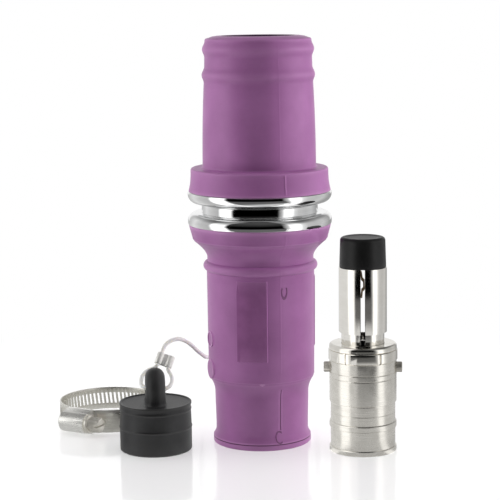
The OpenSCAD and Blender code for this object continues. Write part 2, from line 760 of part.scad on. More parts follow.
module stem_sleeve() {
    color(steel) at_adapter() difference() {
        union() {
            translate([0, 0, sleeve_z]) cylinder(r = stem_sleeve_r, h = cap_z - sleeve_z);
            translate([0, 0, cap_z - 1]) cylinder(r = sleeve_collar_r, h = sleeve_collar_l + 1);
        }
        translate([0, 0, sleeve_z - 1]) cylinder(r = stem_r, h = cap_z - sleeve_z + 2 * cap_cover);
        translate([-slot_w / 2, -stem_d, sleeve_z - 1])
            cube([slot_w, 2 * stem_d, cap_z - sleeve_z + 1]);
    }
}

module stem_cap() {
    cap_round = 2;
    dish = 0.3;
    color(black) at_adapter() rotate_extrude() polygon(concat(
        [[sleeve_collar_r, cap_z], [cap_d / 2 - 0.3, cap_z], [cap_d / 2, cap_z + 0.4]],
        arc(cap_top_d / 2 - cap_round, cap_z + cap_h - cap_round, cap_round, 2, 90, 6),
        [[cap_top_d / 2 - 3.2, cap_z + cap_h - dish], [0, cap_z + cap_h - dish],
            [0, tube_top], [stem_r, tube_top], [stem_r, cap_z + sleeve_collar_l],
            [sleeve_collar_r, cap_z + sleeve_collar_l]]
    ));
}

// Both sides of a bent strip of thickness t along the points p.
function strip(p, t) =
    let (n = len(p) - 1, d = directions(p),
        side = [for (i = [0:n]) [-d[i][1], d[i][0]] * t / 2])
    concat([for (i = [0:n]) p[i] + side[i]], [for (i = [n:-1:0]) p[i] - side[i]]);

module stem_leaf() {
    leaf_top = cap_z + cap_cover - 0.5;
    leaf_points = [
        [-4.4, tube_top - leaf_top], [-4.4, 0], [-3.6, -3.4], [-1, -6], [-0.5, -9.6],
        [0.6, -10.8], [0.7, -15.2], [-0.4, -16.4], [-0.8, -20.3]
    ];
    color(black) at_adapter() translate([0, leaf_w / 2, leaf_top]) rotate([90, 0, 0])
        linear_extrude(leaf_w) polygon(strip(leaf_points, leaf_t));
}

module stem_foot() {
    color(steel) at_adapter() {
        translate([0, 0, foot_z]) cylinder(d = foot_d, h = foot_t);
        translate([0, 0, tube_z - eps]) cylinder(r = tube_in_r, h = plug_l);
    }
}

module foot_seal() {
    color(black) at_adapter() translate([0, 0, tube_z]) difference() {
        cylinder(d = foot_d - 0.4, h = foot_seal_t);
        translate([0, 0, -1]) cylinder(r = stem_r, h = foot_seal_t + 2);
    }
}

// Points along a coil: radius r, from z0 to z1, in the given number of turns.
function coil(r, z0, z1, turns, rings) =
    let (n = ceil(turns * rings))
    [for (i = [0:n]) [r * cos(360 * turns * i / n), r * sin(360 * turns * i / n),
        z0 + (z1 - z0) * i / n]];

// Least gap of a coil to its own next turn, measured on its points.
function coil_gap(p, rings, wire) =
    min([for (i = [0:len(p) - 1 - rings]) norm(p[i + rings] - p[i]) - wire]);

spring_line_r = (spring_d - spring_wire) / 2;
spring_points = coil(spring_line_r, ledge_z + spring_wire / 2 + 0.05,
    foot_z - spring_wire / 2 - 0.05, spring_turns, 16);
echo(return_spring_gap = coil_gap(spring_points, 16, spring_wire));

module return_spring() {
    color(steel) at_adapter() tube(spring_points, spring_wire / 2, 6, [1, 0, 0],
        spring_points[1] - spring_points[0], [0, spring_line_r, 0]);
}

// ---- stopper ----

lug_r = lug_l / 2;
lug_mid_z = stopper_h + lug_h - lug_r;
hole_y = -1.5;

module at_stopper() {
    translate([stopper_x, stopper_y, 0]) rotate([0, 0, stopper_turn]) children();
}

module stopper() {
    body_r = stopper_d / 2;
    top_lip = 0.5;
    rib_z = stopper_h / 2;
    leg_y = lug_r - lug_t / 2;
    rib_top_z = stopper_h - 3.6;
    color(black) at_stopper() difference() {
        union() {
            rotate_extrude() polygon(concat(
                [[0, 0]],
                arc(body_r - stopper_round, stopper_round, stopper_round, -90, 0, 5),
                [for (z = heights(rib_z - rib_l / 2, rib_z + rib_l / 2, 6))
                    [body_r + rib_h * bump(z, rib_z, rib_l), z]],
                [for (z = heights(rib_top_z - rib_l / 2, rib_top_z + rib_l / 2, 6))
                    [body_r - 0.3 + rib_h * bump(z, rib_top_z, rib_l), z]],
                [[body_r - 0.3, stopper_h - 1.4], [body_r, stopper_h - 0.8],
                    [body_r, stopper_h + top_lip], [body_r - 0.8, stopper_h + top_lip],
                    [body_r - 1.4, stopper_h], [0, stopper_h]]
            ));
            translate([0, 0, lug_mid_z]) rotate([0, -90, 0]) rotate([0, 0, -90])
                rotate_extrude(angle = 180, $fn = 64)
                    translate([leg_y, 0]) circle(d = lug_t, $fn = 48);
            for (y = [-leg_y, leg_y]) translate([0, y, stopper_h - 1])
                cylinder(d = lug_t, h = lug_mid_z - stopper_h + 1, $fn = 48);
            translate([-lug_t / 2, -leg_y, stopper_h - 1])
                cube([lug_t, 2 * leg_y, lug_mid_z - stopper_h + 1]);
            translate([-lug_t / 2, 0, lug_mid_z]) rotate([0, 90, 0])
                cylinder(r = leg_y, h = lug_t, $fn = 64);
        }
        translate([-lug_t, hole_y, lug_mid_z]) rotate([0, 90, 0])
            cylinder(d = lug_hole_d, h = 2 * lug_t, $fn = 48);
        translate([0, 0, -1]) cylinder(d = recess_d, h = recess_h + 1);
    }
}

// ---- hose clamp ----

band_r = band_d / 2;
band_in_r = band_r - band_t;
layer_r = band_r + band_t;
band_z = housing_lip;
clamp_mid_z = housing_lip + band_w / 2;
worm_r = worm_d / 2;
worm_gap = 0.15;
screw_u = layer_r + worm_gap + worm_r;
slot_step = slot_pitch / band_r * 180 / PI;
front_wall = 1.5;
rear_wall = 2.4;
rear_cover = 0.6;
neck_journal_r = 2.6;
rear_journal_r = 1.8;

module at_clamp() {
    translate([clamp_x, clamp_y, 0]) rotate([0, 0, clamp_turn]) children();
}

// A stretch of a ring from angle a0 to a1, between radii r0 and r1.
module band_arc(r0, r1, z, h, a0, a1) {
    translate([0, 0, z]) rotate([0, 0, a0]) rotate_extrude(angle = a1 - a0)
        translate([r0, 0]) square([r1 - r0, h]);
}

// The band starts beside the housing's base, runs round and passes over the base under the
// worm. Angles are from the housing.
base_l = housing_l - 5;
base_a = asin(base_l / 2 / band_in_r);
layer_a = -24;
free_end_a = 19;
slots_hidden = [for (i = [-1:1]) i * slot_step];
slots_open = [for (i = [1:100]) let (a = 95 + i * slot_step) if (a < 322) a];

module clamp_band() {
    start_a = base_a + 0.3;
    color(steel) at_clamp() difference() {
        union() {
            band_arc(band_in_r, band_r, band_z, band_w, start_a, 360 - start_a);
            band_arc(band_r + band_gap, layer_r, band_z, band_w, layer_a, free_end_a);
            band_arc(band_r - band_t / 2, layer_r - band_t / 2, band_z, band_w, layer_a + 0.5,
                layer_a + 4);
        }
        for (a = concat(slots_hidden, slots_open)) rotate([0, 0, a])
            translate([band_r, 0, clamp_mid_z]) rotate([-worm_slot_slant, 0, 0])
                cube([4 * band_t, worm_slot_w, worm_slot_h], center = true);
    }
}

module clamp_housing() {
    height = band_w + 2 * housing_lip;
    channel = worm_r + 0.25;
    shell_r = housing_d / 2;
    side_w = 0.6;
    dome_l = 1.4;
    along = housing_l / 2;
    color(steel) at_clamp() difference() {
        union() {
            difference() {
                union() {
                    translate([0, along, 0]) rotate([90, 0, 0]) linear_extrude(housing_l)
                        polygon([[band_in_r, 0], [band_in_r, height],
                            [layer_r + side_w, height], [screw_u, clamp_mid_z + shell_r],
                            [screw_u, clamp_mid_z - shell_r], [layer_r + side_w, 0]]);
                    translate([screw_u, along, clamp_mid_z]) rotate([90, 0, 0])
                        cylinder(r = shell_r, h = housing_l);
                    translate([screw_u, -along, clamp_mid_z]) rotate([90, 0, 0])
                        cylinder(r1 = shell_r, r2 = shell_r - dome_l, h = dome_l);
                }
                translate([0, 0, -1]) cylinder(r = layer_r + band_gap, h = height + 2, $fn = 128);
            }
            intersection() {
                translate([0, -base_l / 2, 0]) cube([band_d, base_l, height]);
                difference() {
                    cylinder(r = layer_r + 0.2, h = height, $fn = 128);
                    translate([0, 0, -1]) cylinder(r = band_in_r, h = height + 2, $fn = 128);
                }
            }
        }
        band_arc(band_r, layer_r + band_gap, band_z - band_gap, band_w + 2 * band_gap, -60, 60);
        translate([screw_u, along - front_wall, clamp_mid_z]) rotate([90, 0, 0])
            cylinder(r = channel, h = housing_l - front_wall - rear_wall + rear_cover);
        translate([screw_u, along + 1, clamp_mid_z]) rotate([90, 0, 0])
            cylinder(r = neck_journal_r + screw_gap, h = front_wall + 2);
        translate([screw_u, -along + rear_wall, clamp_mid_z]) rotate([90, 0, 0])
            cylinder(r = rear_journal_r + screw_gap, h = rear_wall + 0.2);
    }
}

module clamp_screw() {
    end_play = 0.1;
    worm_l = housing_l - front_wall - rear_wall - 2 * end_play;
    core_r = worm_r - worm_deep;
    along = housing_l / 2;
    flange_y = along + 0.3;
    head_y = flange_y + screw_flange_t;
    hex_r = hex_af / 2 / cos(30);
    threads = floor((worm_l - 2) / slot_pitch);
    root_w = 0.9;
    crest_w = 0.35;
    rear_y = -along + rear_cover + 0.4;
    color(steel) at_clamp() translate([screw_u, 0, clamp_mid_z]) rotate([-90, 0, 0])
        difference() {
            union() {
                translate([0, 0, rear_y]) cylinder(r = rear_journal_r, h = -rear_y);
                translate([0, 0, -along + rear_wall + end_play]) cylinder(r = core_r, h = worm_l);
                cylinder(r = neck_journal_r, h = head_y);
                rotate_extrude() for (i = [-threads / 2:threads / 2])
                    translate([0, i * slot_pitch])
                        polygon([[core_r - 0.5, -root_w], [core_r, -root_w], [worm_r, -crest_w],
                            [worm_r, crest_w], [core_r, root_w], [core_r - 0.5, root_w]]);
                translate([0, 0, flange_y]) cylinder(d = screw_flange_d, h = screw_flange_t);
                intersection() {
                    translate([0, 0, flange_y]) rotate([0, 0, 15])
                        cylinder(r = hex_r, h = screw_flange_t + hex_l, $fn = 6);
                    translate([0, 0, head_y - 1]) rotate_extrude()
                        polygon([[0, 0], [hex_r + 1, 0], [hex_r + 1, hex_l],
                            [hex_af / 2 - 0.3, hex_l + 1], [0, hex_l + 1]]);
                }
            }
            translate([-hex_af, -drive_w / 2, head_y + hex_l - drive_deep])
                cube([2 * hex_af, drive_w, drive_deep + 1]);
        }
}

upper_cuff();
lower_cuff();
upper_flange();
lower_flange();
union_seal();
adapter_tail();
adapter_barrel();
barrel_gasket();
plate_gasket();
lock_ring();
end_plate();
bayonet_pins();
stem_tube();
stem_sleeve();
stem_cap();
stem_leaf();
stem_foot();
foot_seal();
return_spring();
stopper();
tether_loop();
tether_crimp();
tether_cable();
tether_stop();
clamp_band();
clamp_housing();
clamp_screw();
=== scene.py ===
import math
import bmesh
import bpy
from mathutils import Matrix, Vector


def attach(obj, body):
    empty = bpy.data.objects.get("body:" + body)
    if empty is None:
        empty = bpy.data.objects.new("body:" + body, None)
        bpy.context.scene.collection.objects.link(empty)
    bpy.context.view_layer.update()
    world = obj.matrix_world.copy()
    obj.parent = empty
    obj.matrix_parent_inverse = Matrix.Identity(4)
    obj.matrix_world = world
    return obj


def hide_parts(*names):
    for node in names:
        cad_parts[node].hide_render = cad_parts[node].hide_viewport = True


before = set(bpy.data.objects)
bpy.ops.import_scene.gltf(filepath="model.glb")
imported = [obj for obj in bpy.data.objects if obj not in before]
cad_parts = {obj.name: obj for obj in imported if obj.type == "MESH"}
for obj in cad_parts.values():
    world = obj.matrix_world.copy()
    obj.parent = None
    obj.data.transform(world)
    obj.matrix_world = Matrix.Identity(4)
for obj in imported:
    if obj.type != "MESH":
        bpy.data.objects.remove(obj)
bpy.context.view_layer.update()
mm = 0.001


cameraSetup = {
    "place": (-0.00609, -0.98981, 0.26656),
    "tilt": 81.3,  # degrees up from straight down
    "roll": -0.7,
    "lens": 121.68, "sensor": 36,
}


def placeCamera(setup):
    bpy.ops.object.camera_add()
    camera = bpy.context.object
    camera.name = "kitCamera"
    camera.data.sensor_width = setup["sensor"]
    camera.data.lens = setup["lens"]
    camera.matrix_world = (
        Matrix.Translation(setup["place"])
        @ Matrix.Rotation(math.radians(setup["tilt"]), 4, "X")
        @ Matrix.Rotation(math.radians(setup["roll"]), 4, "Z")
    )
    bpy.context.scene.camera = camera


placeCamera(cameraSetup)
print("camera placed")


# screen colour, 0 to 255, as the shader wants it
def paint(colour):
    def channel(value):
        value /= 255
        return value / 12.92 if value <= 0.04045 else ((value + 0.055) / 1.055) ** 2.4
    return (*map(channel, colour), 1)


def startFinish(name, look):
    finish = bpy.data.materials.new(name)
    finish.use_nodes = True
    tree = finish.node_tree
    shader = tree.nodes["Principled BSDF"]
    shader.inputs["Metallic"].default_value = look.get("metallic", 0)
    shader.inputs["Specular IOR Level"].default_value = look.get("shine", 0.5)
    return finish, tree, shader


# a new node; each input is given another node's output or a plain value
def addNode(tree, kind, inputs):
    node = tree.nodes.new(kind)
    for socket, value in inputs.items():
        if isinstance(value, bpy.types.NodeSocket):
            tree.links.new(value, node.inputs[socket])
        else:
            node.inputs[socket].default_value = value
    return node


def objectPlace(tree):
    return tree.nodes.new("ShaderNodeTexCoord").outputs["Object"]


# noise on the piece's own place; size is that of one blotch in millimetres
def addPattern(tree, size, stretch=(1, 1, 1), centre=(0, 0, 0), detail=4):
    shift = addNode(tree, "ShaderNodeMapping", {"Vector": objectPlace(tree), "Scale": stretch,
        "Location": [-c * mm * s for c, s in zip(centre, stretch)]})
    return addNode(tree, "ShaderNodeTexNoise", {"Vector": shift.outputs["Vector"],
        "Scale": 1 / (size * mm), "Detail": detail, "Roughness": 0.55}).outputs["Fac"]


def addRange(tree, source, low, high, fromLow=0.35, fromHigh=0.65):
    return addNode(tree, "ShaderNodeMapRange", {"Value": source, "From Min": fromLow,
        "From Max": fromHigh, "To Min": low, "To Max": high}).outputs["Result"]


def combine(tree, operation, first, second):
    step = addNode(tree, "ShaderNodeMath", {0: first, 1: second})
    step.operation = operation
    return step.outputs["Value"]


# from the first colour to the second, which are given as on screen or by another node
def addMix(tree, factor, first, second):
    mix = tree.nodes.new("ShaderNodeMix")
    mix.data_type = "RGBA"
    tree.links.new(factor, mix.inputs["Factor"])
    for socket, value in ((mix.inputs["A"], first), (mix.inputs["B"], second)):
        if isinstance(value, tuple):
            socket.default_value = paint(value)
        else:
            tree.links.new(value, socket)
    return mix.outputs["Result"]


def addBump(tree, source, depth, strength=1, under=None):
    inputs = {"Height": source, "Distance": depth * mm, "Strength": strength}
    if under:
        inputs["Normal"] = under
    return addNode(tree, "ShaderNodeBump", inputs).outputs["Normal"]


# 1 on sharp outer edges and 0 elsewhere
def addSharpEdges(tree, low=0.5, high=0.56):
    shape = tree.nodes.new("ShaderNodeNewGeometry")
    return addRange(tree, shape.outputs["Pointiness"], 0, 1, low, high)


def rubberFinish(name, look):
    finish, tree, shader = startFinish(name, look)
    blotch = addPattern(tree, look["blotch"], detail=5)
    grain = addPattern(tree, look["grain"], detail=3)
    speck = addPattern(tree, look["grain"] * 0.35, detail=2)
    colour = addMix(tree, addRange(tree, blotch, 0, 1), look["dark"], look["light"])
    dusty = addMix(tree, addRange(tree, speck, 0, look["dust"], 0.6, 0.75), colour,
        look["dustColour"])
    # lighter colour on sharp outer edges
    edged = addMix(tree, addSharpEdges(tree), dusty, look["edge"])
    tree.links.new(edged, shader.inputs["Base Color"])
    tree.links.new(addRange(tree, grain, *look["roughness"]), shader.inputs["Roughness"])
    fine = addBump(tree, grain, look["relief"])
    tree.links.new(addBump(tree, blotch, look["relief"] * 3, 0.4, fine), shader.inputs["Normal"])
    return finish


def metalFinish(name, look, centre=(0, 0, 0)):
    finish, tree, shader = startFinish(name, look)
    lines = addPattern(tree, look["line"] * look["run"],
        (1, 1, look["run"]), centre, 3)
    cloud = addPattern(tree, look["cloud"], detail=4)
    tint = addMix(tree, addRange(tree, cloud, 0, 1), look["dark"], look["light"])
    streak = addMix(tree, addRange(tree, lines, 0, look["streak"]), tint, look["streakColour"])
    # lighter colour on sharp outer edges
    edged = addMix(tree, addSharpEdges(tree, 0.51, 0.58), streak, look["edge"])
    tree.links.new(edged, shader.inputs["Base Color"])
    rough = combine(tree, "MULTIPLY", addRange(tree, lines, *look["roughness"]),
        addRange(tree, cloud, 0.8, 1.25))
    tree.links.new(rough, shader.inputs["Roughness"])
    tree.links.new(addBump(tree, lines, look["relief"]), shader.inputs["Normal"])
    return finish


cuffLook = {
    "light": (146, 91, 143), "dark": (134, 81, 131), "edge": (168, 118, 164),
    "dust": 0.18, "dustColour": (168, 122, 164),
    "blotch": 26, "grain": 0.5, "relief": 0.015, "roughness": (0.34, 0.44), "shine": 0.42,
}
panelLook = {
    "light": (128, 75, 124), "dark": (118, 67, 114), "edge": (148, 98, 144),
    "dust": 0.2, "dustColour": (142, 92, 138),
    "blotch": 9, "grain": 0.7, "relief": 0.04, "roughness": (0.42, 0.55), "shine": 0.3,
}
# painted shade: the cuff's rubber, darker, for the seam's groove, the lip's crease and the small
# moulded marks
seamShadeLook = dict(cuffLook, light=(100, 56, 96), dark=(88, 48, 85), edge=(116, 70, 112), dust=0)
# painted shade: the cuff's rubber, darker, for the inside of the bore where light doesn't reach
boreShadeLook = dict(cuffLook, light=(64, 36, 62), dark=(52, 30, 51), edge=(84, 52, 82), dust=0)
blackLook = {
    "light": (36, 36, 37), "dark": (28, 28, 29), "edge": (56, 56, 55),
    "dust": 0.3, "dustColour": (58, 58, 57),
    "blotch": 12, "grain": 0.35, "relief": 0.03, "roughness": (0.36, 0.48), "shine": 0.32,
}
capLook = {
    "light": (21, 21, 21), "dark": (15, 15, 15), "edge": (34, 34, 34),
    "dust": 0.25, "dustColour": (40, 40, 40),
    "blotch": 7, "grain": 0.3, "relief": 0.02, "roughness": (0.36, 0.46), "shine": 0.24,
}
chromeLook = {
    "metallic": 1, "light": (238, 238, 238), "dark": (230, 231, 232),
    "edge": (245, 245, 245), "streak": 0.3, "streakColour": (212, 211, 209),
    "line": 0.25, "run": 60, "cloud": 9, "relief": 0.0015, "roughness": (0.04, 0.09),
}
turnedLook = {
    "metallic": 1, "light": (229, 226, 219), "dark": (213, 210, 203),
    "edge": (244, 241, 235), "streak": 0.4, "streakColour": (200, 196, 188),
    "line": 0.22, "run": 50, "cloud": 8, "relief": 0.002, "roughness": (0.2, 0.3),
}
stemLook = {
    "metallic": 1, "light": (233, 230, 224), "dark": (222, 218, 211),
    "edge": (246, 244, 239), "streak": 0.4, "streakColour": (206, 201, 192),
    "line": 0.3, "run": 40, "cloud": 10, "relief": 0.002, "roughness": (0.1, 0.16),
}
bandLook = {
    "metallic": 0.85, "light": (218, 217, 208), "dark": (204, 202, 192),
    "edge": (240, 239, 234), "streak": 0.5, "streakColour": (172, 168, 160),
    "line": 0.3, "run": 40, "cloud": 7, "relief": 0.001, "roughness": (0.24, 0.36),
}
screwLook = {
    "metallic": 0.75, "light": (216, 213, 204), "dark": (198, 194, 184),
    "edge": (236, 233, 224), "streak": 0.5, "streakColour": (160, 155, 144),
    "line": 0.3, "run": 20, "cloud": 3, "relief": 0.001, "roughness": (0.3, 0.44),
}
pinLook = dict(screwLook, light=(150, 146, 138), dark=(128, 124, 116),
    edge=(226, 222, 214), streakColour=(96, 92, 84))
leafLook = dict(bandLook, light=(176, 150, 118), dark=(150, 126, 98),
    edge=(210, 188, 158), streakColour=(96, 84, 70))
crimpLook = dict(bandLook, light=(224, 224, 222), dark=(206, 206, 203), relief=0.01,
    roughness=(0.36, 0.5), metallic=0.5)
nylonLook = {
    "light": (206, 206, 204), "dark": (194, 194, 190), "edge": (220, 220, 218),
    "dust": 0.2, "dustColour": (178, 177, 168),
    "blotch": 8, "grain": 0.4, "relief": 0.01, "roughness": (0.4, 0.5), "shine": 0.25,
}

cuffRubber = rubberFinish("cuffRubber", cuffLook)
panelRubber = rubberFinish("panelRubber", panelLook)
boreShadeRubber = rubberFinish("boreShadeRubber", boreShadeLook)
seamShadeRubber = rubberFinish("seamShadeRubber", seamShadeLook)
blackRubber = rubberFinish("blackRubber", blackLook)
capRubber = rubberFinish("capRubber", capLook)
chromePlate = metalFinish("chromePlate", chromeLook)
adapterPlace = (59, -24.8, 0)
clampPlace = (-95.3, 47.8, 0)
turnedSteel = metalFinish("turnedSteel", turnedLook, adapterPlace)
ringSteel = metalFinish("ringSteel", dict(turnedLook, roughness=(0.1, 0.16)), adapterPlace)
stemSteel = metalFinish("stemSteel", stemLook, adapterPlace)
bandSteel = metalFinish("bandSteel", bandLook, clampPlace)
screwSteel = metalFinish("screwSteel", screwLook, clampPlace)
pinSteel = metalFinish("pinSteel", pinLook, adapterPlace)
leafSteel = metalFinish("leafSteel", leafLook, adapterPlace)
crimpMetal = metalFinish("crimpMetal", crimpLook)
tetherNylon = rubberFinish("tetherNylon", nylonLook)
nylonShader = tetherNylon.node_tree.nodes["Principled BSDF"]
nylonShader.inputs["Subsurface Weight"].default_value = 0.4
nylonShader.inputs["Subsurface Radius"].default_value = (0.002, 0.0018, 0.0014)
nylonShader.inputs["Subsurface Scale"].default_value = 1
print("finishes made")


tether = {
    "thick": 2.4, "steps": 5,
    "route": [  # from the stop behind the lower cuff to the crimp
        (-7.4, 34, 46), (-14.4, 31.6, 46), (-20, 29.2, 46), (-24.8, 26, 46),
        (-28.8, 22.2, 46.2), (-31.8, 18.2, 46.6), (-33.8, 14.4, 47.6), (-35.6, 11, 49.6),
        (-38.4, 8.4, 52.6), (-41.2, 6.4, 55.9), (-44.6, 4.2, 59.2), (-48.8, 1.6, 61.5),
        (-52.8, -1, 61.5), (-56, -2.8, 60.1), (-58.1, -4.4, 57.7), (-59.3, -6, 54.7),
    ],
    "loop": [  # from the crimp, through the stopper's lug and back
        (-61.63, -9.11, 48.88), (-62.6, -9.7, 47.4), (-64.5, -9.9, 46.3), (-67, -10.1, 45.4),
        (-69.4, -11.4, 44), (-71, -14, 41.8), (-71.1, -17.8, 38.7), (-68.4, -20.6, 37),
        (-62.8, -21.3, 35.9), (-57.4, -20.4, 36.3), (-54.2, -18.4, 37.7), (-53, -15.4, 40.4),
        (-53.8, -12.6, 43), (-55.2, -10.8, 44.9), (-55.81, -9.59, 46.81),
    ],
}


# more points on a smooth curve through the given ones, in metres
def smoothRoute(points, steps):
    route = [Vector(p) * mm for p in points]
    route = [2 * route[0] - route[1]] + route + [2 * route[-1] - route[-2]]
    out = []
    for a, b, c, d in zip(route, route[1:], route[2:], route[3:]):
        for step in range(steps):
            u = step / steps
            out.append(0.5 * (2 * b + (c - a) * u + (2 * a - 5 * b + 4 * c - d) * u * u
                + (3 * b - a - 3 * c + d) * u ** 3))
    return out + [route[-2]]


def makeCord(name, points, thick, steps):
    bpy.ops.object.select_all(action="DESELECT")
    line = bpy.data.curves.new(name, "CURVE")
    line.dimensions = "3D"
    route = smoothRoute(points, steps)
    spline = line.splines.new("POLY")
    spline.points.add(len(route) - 1)
    for spot, place in zip(spline.points, route):
        spot.co = (*place, 1)
    spline.use_smooth = True
    line.bevel_depth = thick * mm / 2
    line.bevel_resolution = 5
    line.use_fill_caps = True
    cord = bpy.data.objects.new(name, line)
    bpy.context.scene.collection.objects.link(cord)
    length = sum((b - a).length for a, b in zip(route, route[1:]))
    return cord, route, length


# without a finish, the piece keeps those that it has
def finishPiece(piece, body, slotName, finish, *nodes):
    if finish:
        piece.data.materials.clear()
        piece.data.materials.append(finish)
    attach(piece, body)
    if nodes:
        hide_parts(*nodes)
    return piece


tetherCable, cableRoute, cableLength = makeCord("tetherCable", tether["route"], tether["thick"],
    tether["steps"])
finishPiece(tetherCable, "kit", "tether_nylon", tetherNylon, "tether_cable")
tetherLoop, loopRoute, loopLength = makeCord("tetherLoop", tether["loop"], tether["thick"],
    tether["steps"])
finishPiece(tetherLoop, "kit", "tether_nylon", tetherNylon, "tether_loop")
print("cords made:", round(cableLength, 4), round(loopLength, 4))


# object mode, nothing selected
def restart():
    if bpy.context.object and bpy.context.object.mode != "OBJECT":
        bpy.ops.object.mode_set(mode="OBJECT")
    bpy.ops.object.select_all(action="DESELECT")


def activate(piece):
    restart()
    piece.select_set(True)
    bpy.context.view_layer.objects.active = piece


# names the new object and puts its place and turn into its mesh
def settle(name=None):
    piece = bpy.context.object
    if name:
        piece.name = name
        piece.data.name = name
    bpy.ops.object.transform_apply(location=True, rotation=True, scale=True)
    return piece


def openPiece(piece):
    activate(piece)
    bpy.ops.object.mode_set(mode="EDIT")
    bpy.ops.mesh.select_all(action="DESELECT")


def closePiece(piece, smooth=32):
    selectAll()
    bpy.ops.mesh.normals_make_consistent(inside=False)
    bpy.ops.object.mode_set(mode="OBJECT")
    bpy.ops.object.shade_smooth_by_angle(angle=math.radians(smooth))
    return piece


def selectAll():
    bpy.ops.mesh.select_all(action="SELECT")


# selects the faces, edges or verts that pass the test, and no others
def pick(piece, kind, wanted):
    bpy.ops.mesh.select_mode(type={"faces": "FACE", "edges": "EDGE", "verts": "VERT"}[kind])
    bpy.ops.mesh.select_all(action="DESELECT")
    mesh = bmesh.from_edit_mesh(piece.data)
    for part in getattr(mesh, kind):
        if wanted(part):
            part.select_set(True)
    mesh.select_flush_mode()
    bmesh.update_edit_mesh(piece.data)


def deleteFaces(piece, wanted):
    pick(piece, "faces", wanted)
    bpy.ops.mesh.delete(type="FACE")


# gives the faces that pass the test the piece's finish of that number
def coverFaces(piece, index, wanted):
    openPiece(piece)
    pick(piece, "faces", wanted)
    piece.active_material_index = index
    bpy.ops.object.material_slot_assign()
    closePiece(piece)


def addRing(name, centre, radius, z, sides):
    restart()
    bpy.ops.mesh.primitive_circle_add(vertices=sides, radius=radius * mm,
        location=(centre[0] * mm, centre[1] * mm, z * mm))
    piece = settle(name)
    bpy.ops.object.mode_set(mode="EDIT")
    bpy.ops.mesh.select_mode(type="VERT")
    selectAll()
    return piece


# extrudes the selected ring from each point of the profile to the next
def growRings(profile, centre):
    for (wide, low), (nextWide, high) in zip(profile, profile[1:]):
        bpy.ops.mesh.extrude_edges_move(
            TRANSFORM_OT_translate={"value": (0, 0, (high - low) * mm)})
        if nextWide != wide:
            bpy.ops.transform.resize(value=(nextWide / wide, nextWide / wide, 1),
                center_override=(centre[0] * mm, centre[1] * mm, high * mm))


# extra rings beside each corner, so that the long walls stay flat in the light
def steadied(profile, beside=0.12, longest=1.5):
    out = [profile[0]]
    for first, last in zip(profile, profile[1:]):
        far = math.dist(first, last)
        if far > longest:
            out += [tuple(a + (b - a) * share for a, b in zip(first, last))
                for share in (beside / far, 1 - beside / far)]
        out.append(last)
    return out


def turnPiece(name, profile, centre=(0, 0), sides=192, hollow=True, smooth=32):
    piece = addRing(name, centre, *profile[0], sides)
    growRings(profile, centre)
    if hollow:
        bpy.ops.mesh.select_all(action="DESELECT")
        bpy.ops.mesh.select_non_manifold()
        bpy.ops.mesh.bridge_edge_loops()
    else:
        selectAll()
        bpy.ops.mesh.fill_holes(sides=0)
    return closePiece(piece, smooth)


# points of a rounded corner of a profile
def bend(centreWide, centreHigh, radius, start, end, steps=6):
    return [(centreWide + radius * math.cos(math.radians(start + (end - start) * i / steps)),
        centreHigh + radius * math.sin(math.radians(start + (end - start) * i / steps)))
        for i in range(steps + 1)]


# 1 in the middle of a bead and 0 at its ends
def bulge(z, middle, length):
    u = 2 * (z - middle) / length
    return (1 + math.cos(math.pi * u)) / 2 if abs(u) < 1 else 0


def levels(low, high, steps):
    return [low + (high - low) * i / steps for i in range(steps + 1)]


def addModifier(piece, kind, **settings):
    activate(piece)
    modifier = piece.modifiers.new(kind.lower(), kind)
    for key, value in settings.items():
        setattr(modifier, key, value)
    bpy.ops.object.modifier_apply(modifier=modifier.name)


def easeEdges(piece, width, angle=50, **settings):
    addModifier(piece, "BEVEL", width=width * mm, segments=2, limit_method="ANGLE",
        angle_limit=math.radians(angle), **settings)


# gives a sheet its wall, outward or inward, and eases the edges
def thicken(piece, wall, outward, edge, smooth):
    addModifier(piece, "SOLIDIFY", thickness=wall * mm, offset=outward, use_even_offset=True)
    easeEdges(piece, edge)
    bpy.ops.object.shade_smooth_by_angle(angle=math.radians(smooth))
    return piece


# a merged copy of a CAD node, with its edges eased, finished in that node's place
def copyNode(node, name, edge, body, slotName, finish):
    activate(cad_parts[node])
    bpy.ops.object.duplicate()
    piece = bpy.context.object
    piece.name = name
    piece.data.name = name
    for key in list(piece.keys()):
        del piece[key]
    piece.parent = None
    bpy.ops.object.mode_set(mode="EDIT")
    selectAll()
    bpy.ops.mesh.remove_doubles(threshold=0.000002)
    bpy.ops.mesh.customdata_custom_splitnormals_clear()
    bpy.ops.mesh.dissolve_limited(angle_limit=math.radians(0.6))
    bpy.ops.object.mode_set(mode="OBJECT")
    easeEdges(piece, edge, 40, use_clamp_overlap=True)
    activate(piece)
    bpy.ops.object.shade_smooth_by_angle(angle=math.radians(32))
    return finishPiece(piece, body, slotName, finish, node)


# a face's middle in millimetres
def middleOf(face):
    return face.calc_center_median() / mm


# distance from an upright axis and direction round it, in millimetres and degrees
def around(part, centre=(0, 0)):
    x, y = part.x / mm - centre[0], part.y / mm - centre[1]
    return math.hypot(x, y), math.degrees(math.atan2(y, x))


bore = 21.5
spigotWide = 24.9
spigotLong = 46
ridgeGap = 11.5  # between the ridges that hold the cuffs on the flanges
ridgeHigh = 1.2
upperCuffShape = {
    "foot": 150.8, "collarHigh": 13.6, "collarWide": 41.9, "waist": 1.4,
    "hoseFoot": 33.35, "hoseTop": 31.7, "hoseEdge": 31.1, "top": 241.2,
    "beads": (233.6, 218.8), "beadHigh": 1.4, "beadLong": 9.6, "dome": 1.5,
    "seamAt": -69.375, "seamHigh": 0.16,
}


# profile of the hidden ridges, away from the flange
def spigotRidges(start, up):
    return [(spigotWide + wide * ridgeHigh, start + up * (i * ridgeGap + along))
        for i in (1, 2, 3) for along, wide in ((-0.9, 0), (-0.9, 1), (-0.3, 1), (1.5, 0))]


